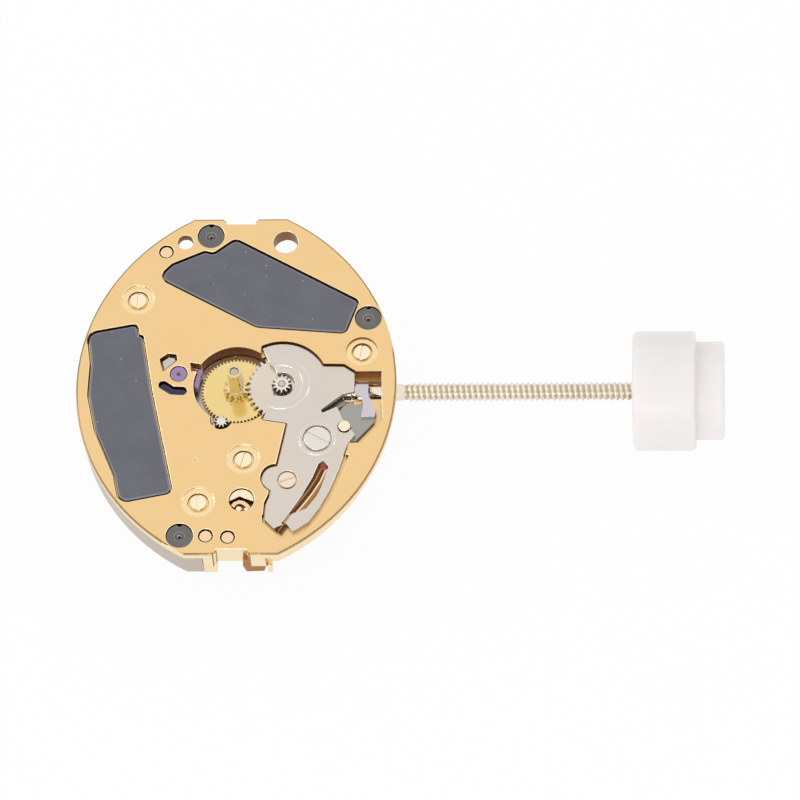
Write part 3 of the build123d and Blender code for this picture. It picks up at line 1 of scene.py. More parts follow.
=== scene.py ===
import logging
import math
from collections.abc import Callable, Iterable, Sequence
from dataclasses import dataclass, field
from enum import Enum
from functools import cache

import bmesh
import bpy
from mathutils import Matrix, Vector
from mathutils.geometry import intersect_line_line_2d

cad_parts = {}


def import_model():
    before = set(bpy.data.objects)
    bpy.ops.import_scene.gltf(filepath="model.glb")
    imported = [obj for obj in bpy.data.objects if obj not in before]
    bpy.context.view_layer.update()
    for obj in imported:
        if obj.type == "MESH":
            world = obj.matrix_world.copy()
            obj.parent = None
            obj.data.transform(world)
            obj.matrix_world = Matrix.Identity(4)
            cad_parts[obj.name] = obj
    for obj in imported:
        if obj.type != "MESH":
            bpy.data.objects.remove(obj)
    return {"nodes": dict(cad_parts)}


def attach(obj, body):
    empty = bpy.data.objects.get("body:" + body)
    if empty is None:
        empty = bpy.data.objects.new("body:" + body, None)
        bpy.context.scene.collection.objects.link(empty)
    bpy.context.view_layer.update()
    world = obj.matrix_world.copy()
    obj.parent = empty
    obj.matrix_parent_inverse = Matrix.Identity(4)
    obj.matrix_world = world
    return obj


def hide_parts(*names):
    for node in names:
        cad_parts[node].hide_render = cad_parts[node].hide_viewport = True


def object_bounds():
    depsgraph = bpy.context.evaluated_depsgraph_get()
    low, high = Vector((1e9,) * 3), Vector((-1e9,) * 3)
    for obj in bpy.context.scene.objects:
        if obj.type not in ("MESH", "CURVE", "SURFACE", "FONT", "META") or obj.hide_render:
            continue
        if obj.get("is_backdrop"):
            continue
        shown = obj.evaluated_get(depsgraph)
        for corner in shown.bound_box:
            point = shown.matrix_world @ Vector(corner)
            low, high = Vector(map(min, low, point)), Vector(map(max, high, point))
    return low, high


# Looks of a quartz watch movement, dial side up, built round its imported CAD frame.
# Lengths are in metres. Outlines, profiles and other tables of points are in millimetres, and metres()
# turns them into metres, as MM does with a single size. The places on the plate that go through
# plate_point() are shares of its half width and half length.

LOG = logging.getLogger("movement")
MM = 0.001
HALF_WIDTH = 7.575 * MM
HALF_LENGTH = 8.9 * MM
STEM_AXIS_Z = -0.84 * MM
WHITE = (1.0, 1.0, 1.0, 1.0)
NOISE_ROUGHNESS = 0.6
LEVEL_FROM = 0.5
WELD_REACH = 1e-7
FLAT_TURN = math.radians(0.6)

Point = tuple[float, float, float]
Place = tuple[float, float]
Outline = tuple[Place, ...]
Colour = tuple[float, float, float]
Painter = Callable[[Vector, Vector], int]


class Axis(Enum):
    """The axis that a turned shape runs along, with the two axes across it."""

    X = (0, 1, 2)
    Y = (1, 2, 0)
    Z = (2, 0, 1)


class Grain(Enum):
    """How the surface of a metal was worked."""

    SATIN = "satin"
    BRUSHED = "brushed"
    TURNED = "turned"


def linear(red: int, green: int, blue: int) -> Colour:
    """Turns a display colour into the linear colour that shaders use.

    Args:
        red: red from 0 to 255.
        green: green from 0 to 255.
        blue: blue from 0 to 255.

    Returns:
        The linear colour.
    """
    return tuple(
        channel / 255 / 12.92 if channel < 10.3 else ((channel / 255 + 0.055) / 1.055) ** 2.4
        for channel in (red, green, blue)
    )


def plate_point(across: float, along: float) -> Place:
    """The place on the plate at these shares of its half width and half length.

    Args:
        across: share of the half width.
        along: share of the half length.

    Returns:
        The place in metres.
    """
    return across * HALF_WIDTH, along * HALF_LENGTH


def metres(table: Iterable[Sequence[float]]) -> list[tuple[float, ...]]:
    """Turns a table of places in millimetres into metres.

    Args:
        table: the places.

    Returns:
        The places in metres.
    """
    return [tuple(value * MM for value in row) for row in table]


def circle(centre: Place, radius: float, turns: Iterable[float]) -> list[Place]:
    """Places on a circle.

    Args:
        centre: the circle's centre.
        radius: its radius.
        turns: the directions of the places, in degrees.

    Returns:
        The places.
    """
    angles = [math.radians(turn) for turn in turns]
    return [(centre[0] + radius * math.cos(angle), centre[1] + radius * math.sin(angle)) for angle in angles]


def rounded(corners: Sequence[Point], steps: int = 6) -> list[Place]:
    """A profile in metres whose corners are rounded.

    Args:
        corners: along, radius and rounding of each corner, in millimetres.
        steps: the number of sides that each rounding gets.

    Returns:
        The rounded profile.
    """
    result = []
    for index, (along, radius, ease) in enumerate(corners):
        if not ease:
            result.append((along, radius))
            continue
        corner = Vector((along, radius))
        back = (Vector(corners[index - 1][:2]) - corner).normalized() * ease
        ahead = (Vector(corners[index + 1][:2]) - corner).normalized() * ease
        for step in range(steps + 1):
            turn = step / steps * math.pi / 2
            spot = corner + back * (1 - math.sin(turn)) + ahead * (1 - math.cos(turn))
            result.append((spot.x, spot.y))
    return metres(result)


def level(normal: Vector) -> bool:
    """Whether the face with this normal lies more level than upright."""
    return abs(normal.z) > LEVEL_FROM


class Wire:
    """A shader socket whose operators add Math nodes."""

    def __init__(self, tree: "ShaderTree", socket: bpy.types.NodeSocket) -> None:
        """Keeps the tree and the socket.

        Args:
            tree: the tree that holds the socket.
            socket: the output to work with.
        """
        self.tree = tree
        self.socket = socket

    def _math(self, operation: str, first: "Wire | float", second: "Wire | float") -> "Wire":
        """Adds one Math node.

        Args:
            operation: the Math operation.
            first: the first value.
            second: the second value.

        Returns:
            The node's result.
        """
        return self.tree.node("ShaderNodeMath", {"operation": operation}, {0: first, 1: second})

    def __add__(self, other: "Wire | float") -> "Wire":
        """This value plus another."""
        return self._math("ADD", self, other)

    def __radd__(self, other: float) -> "Wire":
        """A number plus this value."""
        return self._math("ADD", other, self)

    def __sub__(self, other: "Wire | float") -> "Wire":
        """This value less another."""
        return self._math("SUBTRACT", self, other)

    def __rsub__(self, other: float) -> "Wire":
        """A number less this value."""
        return self._math("SUBTRACT", other, self)

    def __mul__(self, other: "Wire | float") -> "Wire":
        """This value times another."""
        return self._math("MULTIPLY", self, other)

    def __rmul__(self, other: float) -> "Wire":
        """A number times this value."""
        return self._math("MULTIPLY", other, self)

    def __lt__(self, other: "Wire | float") -> "Wire":
        """One where this value is the smaller, zero elsewhere."""
        return self._math("LESS_THAN", self, other)

    def __gt__(self, other: "Wire | float") -> "Wire":
        """One where this value is the larger, zero elsewhere."""
        return self._math("GREATER_THAN", self, other)

    def largest(self, other: "Wire | float") -> "Wire":
        """The larger of this value and another."""
        return self._math("MAXIMUM", self, other)


class ShaderTree:
    """The node tree of one material or world."""

    def __init__(self, tree: bpy.types.NodeTree) -> None:
        """Clears a tree and keeps it.

        Args:
            tree: the tree to fill.
        """
        self.tree = tree
        tree.nodes.clear()

    def node(
        self,
        kind: str,
        settings: dict[str, object] | None = None,
        inputs: dict[int | str, object] | None = None,
        out: int | str = 0,
    ) -> Wire:
        """Adds a node, applies its settings, then fills its sockets.

        Args:
            kind: the node's type.
            settings: properties to set first.
            inputs: a value or a Wire for each socket.
            out: the output to hand back.

        Returns:
            The chosen output.
        """
        made = self.tree.nodes.new(kind)
        for name, value in (settings or {}).items():
            setattr(made, name, value)
        for name, value in (inputs or {}).items():
            if isinstance(value, Wire):
                self.tree.links.new(value.socket, made.inputs[name])
            else:
                made.inputs[name].default_value = value
        return Wire(self, made.outputs[out] if len(made.outputs) else None)

    def place(self, scale: float | Point) -> Wire:
        """Object coordinates, scaled.

        Args:
            scale: the scale per metre, on all axes or on each.

        Returns:
            The coordinates.
        """
        where = self.node("ShaderNodeTexCoord", out="Object")
        factors = scale if isinstance(scale, tuple) else (scale, scale, scale)
        return self.node("ShaderNodeVectorMath", {"operation": "MULTIPLY"}, {0: where, 1: factors})

    def noise(self, where: Wire, detail: float = 3.0) -> Wire:
        """Noise from 0 to 1.

        Args:
            where: the coordinates.
            detail: the number of finer layers.

        Returns:
            The noise value.
        """
        inputs = {"Vector": where, "Scale": 1.0, "Detail": detail, "Roughness": NOISE_ROUGHNESS}
        return self.node("ShaderNodeTexNoise", None, inputs)

    def mix(self, share: Wire | float, first: Wire | Colour, second: Wire | Colour) -> Wire:
        """Blends two colours.

        Args:
            share: how much of the second colour.
            first: the first colour.
            second: the second colour.

        Returns:
            The blended colour.
        """
        colours = [
            value if isinstance(value, Wire) else (*value, 1.0) for value in (first, second)
        ]
        return self.node(
            "ShaderNodeMix", {"data_type": "RGBA"}, {0: share, 6: colours[0], 7: colours[1]}, out=2
        )

    def bump(self, height: Wire, strength: float, depth: float) -> Wire:
        """A normal bent by a height.

        Args:
            height: the height from 0 to 1.
            strength: how strong the effect is.
            depth: the depth in metres.

        Returns:
            The normal.
        """
        inputs = {"Height": height, "Strength": strength, "Distance": depth}
        return self.node("ShaderNodeBump", None, inputs)

    def surface(self, shader: Wire) -> None:
        """Connects a shader to the material's output.

        Args:
            shader: the shader to use.
        """
        self.node("ShaderNodeOutputMaterial", None, {"Surface": shader})


def new_material(name: str) -> tuple[bpy.types.Material, ShaderTree]:
    """Makes an empty material, under a name that the frame's own materials don't use.

    Args:
        name: the finish's name.

    Returns:
        The material and its tree.
    """
    material = bpy.data.materials.new(f"{name}_look")
    material.use_nodes = True
    return material, ShaderTree(material.node_tree)


@dataclass(frozen=True)
class Metal:
    """A metal finish with its worked grain and its small changes of tone."""

    name: str
    colour: Colour
    tint: Colour
    roughness: float = 0.3
    spread: float = 0.12
    grain: Grain = Grain.SATIN
    grain_size: float = 0.05 * MM
    relief: float = 0.25
    centre: Place = (0.0, 0.0)
    patch_scale: float = 350.0
    patch_share: float = 0.7
    mean_share: float = 0.75
    depth_share: float = 0.12
    brush_stretch: float = 30.0

    def grain_value(self, tree: ShaderTree) -> Wire:
        """The worked grain from 0 to 1.

        Args:
            tree: the tree to fill.

        Returns:
            The grain.
        """
        fine = 1 / self.grain_size
        if self.grain is Grain.BRUSHED:
            return tree.noise(tree.place((fine / self.brush_stretch, fine, fine)), detail=2.0)
        if self.grain is Grain.TURNED:
            where = tree.node("ShaderNodeTexCoord", out="Object")
            flat = tree.node(
                "ShaderNodeVectorMath",
                {"operation": "MULTIPLY_ADD"},
                {0: where, 1: (1.0, 1.0, 0.0), 2: (-self.centre[0], -self.centre[1], 0.0)},
            )
            reach = tree.node("ShaderNodeVectorMath", {"operation": "LENGTH"}, {0: flat}, out="Value")
            rings = tree.node("ShaderNodeCombineXYZ", None, {"X": reach * fine})
            return tree.noise(rings, detail=1.0)
        return tree.noise(tree.place(fine), detail=3.0)

    def base_colour(self, tree: ShaderTree, share: Wire) -> Wire:
        """The metal's colour with its changes of tone.

        Args:
            tree: the tree to fill.
            share: how much of the tint to use.

        Returns:
            The colour.
        """
        return tree.mix(share, self.colour, self.tint)

    @cache
    def material(self) -> bpy.types.Material:
        """Builds the material, or hands back the one built before.

        Returns:
            The material.
        """
        made, tree = new_material(self.name)
        grain = self.grain_value(tree)
        patches = tree.noise(tree.place(self.patch_scale), detail=2.0)
        least = self.roughness - self.spread * self.mean_share
        roughness = grain * self.spread + patches * (self.spread / 2) + least
        tinted = patches * self.patch_share + grain * (1 - self.patch_share)
        inputs = {
            "Base Color": self.base_colour(tree, tinted),
            "Metallic": 1.0,
            "Roughness": roughness,
            "Normal": tree.bump(grain, self.relief, self.grain_size * self.depth_share),
        }
        tree.surface(tree.node("ShaderNodeBsdfPrincipled", None, inputs))
        return made


@dataclass(frozen=True)
class RimmedMetal(Metal):
    """The finish of the plate's eased edges, a paler gold painted on as a painted highlight, with a darker
    line of painted reflection along the plate's outer rim.
    """

    # rim: the dark brown painted on the outer rim's bevel, a painted reflection of darker surroundings seen
    # at a grazing angle
    rim: Colour = (0.3, 0.18, 0.08)
    rim_width: float = 0.20 * MM
    side_radius: float = 10.056 * MM

    def base_colour(self, tree: ShaderTree, share: Wire) -> Wire:
        """The edge's colour, a painted highlight, or the rim's painted dark reflection where the outer rim
        runs.

        Args:
            tree: the tree to fill.
            share: how much of the tint to use.

        Returns:
            The colour.
        """
        where = tree.node("ShaderNodeTexCoord", out="Object")
        flat = tree.node("ShaderNodeVectorMath", {"operation": "ABSOLUTE"}, {0: where})
        shift = (self.side_radius - HALF_WIDTH, 0.0, 0.0)
        moved = tree.node(
            "ShaderNodeVectorMath", {"operation": "MULTIPLY_ADD"}, {0: flat, 1: (1.0, 1.0, 0.0), 2: shift}
        )
        reach = tree.node("ShaderNodeVectorMath", {"operation": "LENGTH"}, {0: moved}, out="Value")
        along = tree.node("ShaderNodeSeparateXYZ", None, {0: flat}, out="Y")
        outer = (reach > self.side_radius - self.rim_width).largest(along > HALF_LENGTH - self.rim_width)
        return tree.mix(outer, super().base_colour(tree, share), self.rim)


@dataclass(frozen=True)
class Plastic:
    """A moulded plastic with mottling and a few dust specks."""

    name: str
    colour: Colour
    tint: Colour
    roughness: float = 0.45
    speck: Colour = (0.6, 0.6, 0.62)
    speck_share: float = 0.0
    speck_size: float = 0.25 * MM
    speck_reach: float = 0.17
    speck_cover: float = 0.75
    ragged_share: float = 0.12
    relief: float = 0.15
    grain_depth: float = 0.006 * MM
    fine_scale: float = 14000.0
    cloud_scale: float = 700.0
    cloud_share: float = 0.75
    cloud_spread: float = 0.14
    fine_spread: float = 0.06
    depth_colour: Colour | None = None
    depth: float = 0.0
    depth_share: float = 0.6

    @cache
    def material(self) -> bpy.types.Material:
        """Builds the material, or hands back the one built before.

        Returns:
            The material.
        """
        made, tree = new_material(self.name)
        fine = tree.noise(tree.place(self.fine_scale), detail=3.0)
        cloud = tree.noise(tree.place(self.cloud_scale), detail=3.0)
        tinted = cloud * self.cloud_share + fine * (1 - self.cloud_share)
        colour = tree.mix(tinted, self.colour, self.tint)
        least = self.roughness - (self.cloud_spread + self.fine_spread) / 2
        roughness = cloud * self.cloud_spread + fine * self.fine_spread + least
        if self.speck_share:
            scale = 1 / self.speck_size
            cell = {"Vector": tree.place(scale), "Scale": 1.0}
            near = tree.node("ShaderNodeTexVoronoi", None, cell, out="Distance")
            pick = tree.node("ShaderNodeTexVoronoi", None, cell, out="Color")
            chance = tree.node("ShaderNodeSeparateColor", None, {0: pick}, out=0)
            ragged = tree.noise(tree.place(scale * 3), detail=2.0)
            inside = near + ragged * self.ragged_share < self.speck_reach
            specks = inside * (chance < self.speck_share)
            colour = tree.mix(specks * self.speck_cover, colour, self.speck)
        inputs = {
            "Base Color": colour,
            "Roughness": roughness,
            "Normal": tree.bump(fine, self.relief, self.grain_depth),
        }
        if self.depth_colour:
            inputs["Subsurface Weight"] = self.depth_share
            inputs["Subsurface Radius"] = self.depth_colour
            inputs["Subsurface Scale"] = self.depth
        tree.surface(tree.node("ShaderNodeBsdfPrincipled", None, inputs))
        return made


@dataclass(frozen=True)
class Jewel:
    """A clear coloured bearing stone with a polished face."""

    name: str
    colour: Colour
    deep: Colour
    cloud_scale: float = 5200.0
    cloud_spread: float = 0.08
    roughness: float = 0.04
    bending: float = 1.76
    coat: float = 0.6
    clearness: float = 0.25

    @cache
    def material(self) -> bpy.types.Material:
        """Builds the material, or hands back the one built before.

        Returns:
            The material.
        """
        made, tree = new_material(self.name)
        cloud = tree.noise(tree.place(self.cloud_scale), detail=2.0)
        inputs = {
            "Base Color": tree.mix(cloud, self.colour, self.deep),
            "Roughness": cloud * self.cloud_spread + self.roughness,
            "IOR": self.bending,
            "Coat Weight": self.coat,
            "Transmission Weight": self.clearness,
        }
        tree.surface(tree.node("ShaderNodeBsdfPrincipled", None, inputs))
        return made


Finish = Metal | Plastic | Jewel


class Finishes:
    """Every finish of the movement, by name."""

    gold = Metal("gold_plate", linear(243, 209, 155), linear(238, 200, 140), 0.30, 0.10, relief=0.10)
    # painted highlight on the bevels of the plate and the train bridge, with a painted dark reflection along
    # the outer rim
    gold_edge_painted_light = RimmedMetal("gold_edge_painted_light", linear(255, 238, 204), linear(255, 228, 180), 0.20, 0.06)
    # painted highlight: the paler gold that the outward faces of the plate's outer wall take
    gold_side = Metal("gold_side", linear(252, 234, 200), linear(246, 222, 176), 0.30, 0.10, relief=0.1)
    recess = Metal("screw_recess", linear(252, 226, 176), linear(246, 212, 154), 0.24, 0.08, relief=0.1)
    # painted shade: the brown that the plate's upright walls inside the pockets take
    gold_wall_shade = Metal("gold_wall_shade", linear(150, 104, 60), linear(112, 72, 38), 0.34, 0.12)
    gold_screw = Metal(
        "gold_screw_head", linear(254, 242, 214), linear(250, 232, 194), 0.16, 0.08, Grain.SATIN, relief=0.10
    )
    # painted shade: the darker gold on the walls inside the screw slots
    screw_slot_shade = Metal("screw_slot_shade", linear(196, 140, 74), linear(168, 112, 54), 0.30, 0.10, relief=0.1)
    pin = Metal("pin_gold", linear(252, 222, 184), linear(242, 206, 164), 0.24, 0.10, relief=0.1)
    insert = Plastic("insert", linear(114, 115, 124), linear(86, 87, 96), 0.50, speck_share=0.10)
    # painted highlight: the lighter grey on the bevels of the inserts and the bushings
    insert_lit_edge = Plastic("insert_lit_edge", linear(158, 159, 168), linear(124, 125, 134), 0.22)
    bushing = Plastic(
        "bushing", linear(112, 110, 105), linear(96, 95, 91), 0.34, speck_share=0.06, speck_size=0.12 * MM
    )
    plug = Plastic("plug", linear(44, 50, 78), linear(24, 26, 40), 0.14)
    # painted highlight: the lighter mauve on the bevels of the shock plug
    plug_rim_highlight = Plastic("plug_rim_highlight", linear(126, 112, 158), linear(92, 86, 128), 0.16)
    nickel = Metal(
        "nickel_sheet", linear(204, 191, 176), linear(190, 178, 164), 0.30, 0.10, Grain.BRUSHED, 0.03 * MM
    )
    bridge = Metal(
        "bridge_steel", linear(222, 212, 202), linear(212, 203, 193), 0.34, 0.08, Grain.SATIN, 0.04 * MM, 0.12
    )
    # painted highlight: the near white steel on the bevels of the keyless bridge
    bridge_edge_highlight = Metal("bridge_steel_edge_highlight", linear(250, 248, 244), linear(236, 232, 226), 0.14, 0.04)
    steel = Metal(
        "bright_steel", linear(212, 206, 196), linear(196, 190, 180), 0.20, 0.08, Grain.BRUSHED, 0.02 * MM
    )
    dark_steel = Metal(
        "dark_steel", linear(172, 170, 164), linear(156, 155, 150), 0.30, 0.10, Grain.BRUSHED, 0.03 * MM, 0.05
    )
    stem = Metal("stem_steel", linear(244, 234, 218), linear(228, 216, 198), 0.16, 0.06, relief=0.10)
    # painted shade: the darker steel on the faces deep in the thread's grooves
    groove_shade = Metal("thread_groove_shade", linear(206, 194, 176), linear(188, 176, 158), 0.26, 0.08, relief=0.10)
    magnet = Metal("rotor_magnet", linear(120, 120, 124), linear(96, 96, 100), 0.42, 0.10, relief=0.3)
    jewel = Jewel("purple_jewel", linear(186, 152, 206), linear(150, 112, 180))
    knob = Plastic(
        "milky_knob", linear(250, 245, 243), linear(244, 238, 236), 0.34, relief=0.05,
        depth_colour=(1.0, 0.75, 0.6), depth=0.9 * MM,
    )
    copper = Metal("lacquered_copper", linear(196, 112, 62), linear(160, 80, 40), 0.28, 0.10, relief=0.1)
    core_iron = Metal(
        "core_iron", linear(176, 172, 168), linear(150, 147, 144), 0.36, 0.10, Grain.BRUSHED, 0.03 * MM
    )
    board = Plastic("board_laminate", linear(30, 84, 58), linear(22, 66, 46), 0.42, relief=0.3)
    track = Metal("copper_track", linear(226, 176, 104), linear(206, 150, 84), 0.32, 0.10, relief=0.2)
    chip = Plastic("chip_resin", linear(28, 28, 30), linear(20, 20, 22), 0.34, relief=0.25)
    can = Metal("can_metal", linear(214, 212, 206), linear(198, 196, 192), 0.18, 0.08, relief=0.08)
    # painted light on the steel pinions: a painted highlight on their level tops and painted shade on their
    # upright faces and gaps
    pinion_top_highlight = Metal("pinion_top_highlight", linear(240, 232, 222), linear(226, 218, 208), 0.2, 0.08, relief=0.1)
    pinion_gap_shade = Metal("pinion_gap_shade", linear(96, 84, 72), linear(72, 62, 54), 0.3, 0.08, relief=0.1)
    cannon = Metal("cannon_steel", linear(236, 220, 176), linear(222, 200, 150), 0.14, 0.05, relief=0.05)
    small_screw = Metal("small_screw", linear(244, 230, 214), linear(232, 214, 196), 0.22, 0.08, relief=0.1)
    bridge_screw = Metal(
        "bridge_screw", linear(236, 232, 222), linear(224, 220, 210), 0.18, 0.08, Grain.BRUSHED, 0.02 * MM
    )
    # painted highlight: the brighter steel on the raised head of the setting lever
    lever_head_highlight = Metal("lever_head_highlight", linear(214, 208, 212), linear(198, 192, 198), 0.14, 0.06, relief=0.05)
    dark_spring = Metal("dark_spring", linear(112, 78, 50), linear(84, 56, 36), 0.28, 0.10, relief=0.1)
    spring = Metal("spring_bronze", linear(196, 150, 96), linear(150, 104, 62), 0.28, 0.10, relief=0.1)
    red_lever = Plastic("red_lever", linear(176, 74, 62), linear(140, 52, 46), 0.36)
    block = Metal("brown_block", linear(190, 130, 78), linear(160, 100, 56), 0.34, 0.12, relief=0.2)

    @staticmethod
    def wheel(name: str, centre: Place) -> Metal:
        """Brass turned about the axis of its own wheel.

        Args:
            name: the finish's name.
            centre: the wheel's axis.

        Returns:
            The finish.
        """
        return Metal(
            name, linear(243, 219, 154), linear(236, 208, 136), 0.14, 0.06, Grain.TURNED, 0.03 * MM, 0.06,
            centre=centre,
        )

    @staticmethod
    def turned(name: str, centre: Place, colour: Colour, tint: Colour) -> Metal:
        """A bright metal turned about an axis.

        Args:
            name: the finish's name.
            centre: the axis.
            colour: the main colour.
            tint: the second colour.

        Returns:
            The finish.
        """
        return Metal(name, colour, tint, 0.22, 0.10, Grain.TURNED, 0.035 * MM, 0.2, centre=centre)


def crossings(outline: list[Vector]) -> list[Vector]:
    """The places where a closed flat outline crosses itself.

    Args:
        outline: its corners.

    Returns:
        The crossing places.
    """
    sides = list(zip(outline, outline[1:] + outline[:1]))
    spots = []
    for index, (start, end) in enumerate(sides):
        for other_start, other_end in sides[index + 2:]:
            if start == other_end:
                continue
            spot = intersect_line_line_2d(start, end, other_start, other_end)
            if spot:
                spots.append(spot)
    return spots


@dataclass(frozen=True)
class Edging:
    """How the sharp edges of a piece are eased. They stay sharp where there is no room for it."""

    width: float = 0.02 * MM
    segments: int = 2
    from_angle: float = 35.0
    # painted: the eased edges take the piece's last finish, which in this scene is always a painted highlight
    # along the bevel, and on the plate's outer rim a painted dark reflection
    painted: bool = False
    tries: int = 16
    flat_from: int = 24
    spot_reach: float = 0.10 * MM
    level_from: float = 0.9
    simple_to: int = 4

    def mark(self, mesh: bpy.types.Mesh, tight: list[tuple[Vector, float]]) -> None:
        """Gives the edges to be eased a bevel weight.

        Args:
            mesh: the mesh to mark.
            tight: places without room, with how far round them the edges stay sharp.
        """
        work = bmesh.new()
        work.from_mesh(mesh)
        layers = work.edges.layers.float
        weight = layers.get("bevel_weight_edge") or layers.new("bevel_weight_edge")
        limit = math.radians(self.from_angle)
        for edge in work.edges:
            middle = (edge.verts[0].co + edge.verts[1].co) / 2
            turned = len(edge.link_faces) == 2 and edge.calc_face_angle() >= limit
            eased = turned and all((middle - spot).length > reach for spot, reach in tight)
            edge[weight] = float(eased)
            edge.smooth = eased or not turned
        work.to_mesh(mesh)
        work.free()

    def tangles(self, piece: bpy.types.Object) -> list[Vector]:
        """The places where the level faces of the eased piece cross themselves.

        Args:
            piece: the piece.

        Returns:
            The places.
        """
        shown = piece.evaluated_get(bpy.context.evaluated_depsgraph_get())
        mesh = shown.to_mesh()
        spots = []
        for face in mesh.polygons:
            if abs(face.normal.z) > self.level_from and len(face.vertices) > self.simple_to:
                outline = [mesh.vertices[index].co.xy for index in face.vertices]
                spots += [Vector((*spot, face.center.z)) for spot in crossings(outline)]
        shown.to_mesh_clear()
        return spots

    def ease(self, piece: bpy.types.Object, finishes: int) -> None:
        """Eases the edges of a piece.

        Args:
            piece: the piece.
            finishes: the number of its finishes, the last of which is the edges' where they are painted.
        """
        bevel = piece.modifiers.new("eased", "BEVEL")
        bevel.width = self.width
        bevel.segments = self.segments
        bevel.limit_method = "WEIGHT"
        bevel.use_clamp_overlap = False
        bevel.harden_normals = True
        if self.painted:
            bevel.material = finishes - 1
        tight = []
        self.mark(piece.data, tight)
        for attempt in range(self.tries):
            spots = self.tangles(piece)
            if not spots:
                break
            tight += [(spot, self.spot_reach * (1 + attempt)) for spot in spots]
            self.mark(piece.data, tight)
            LOG.info("%s: edges left sharp round %d places", piece.name, len(tight))


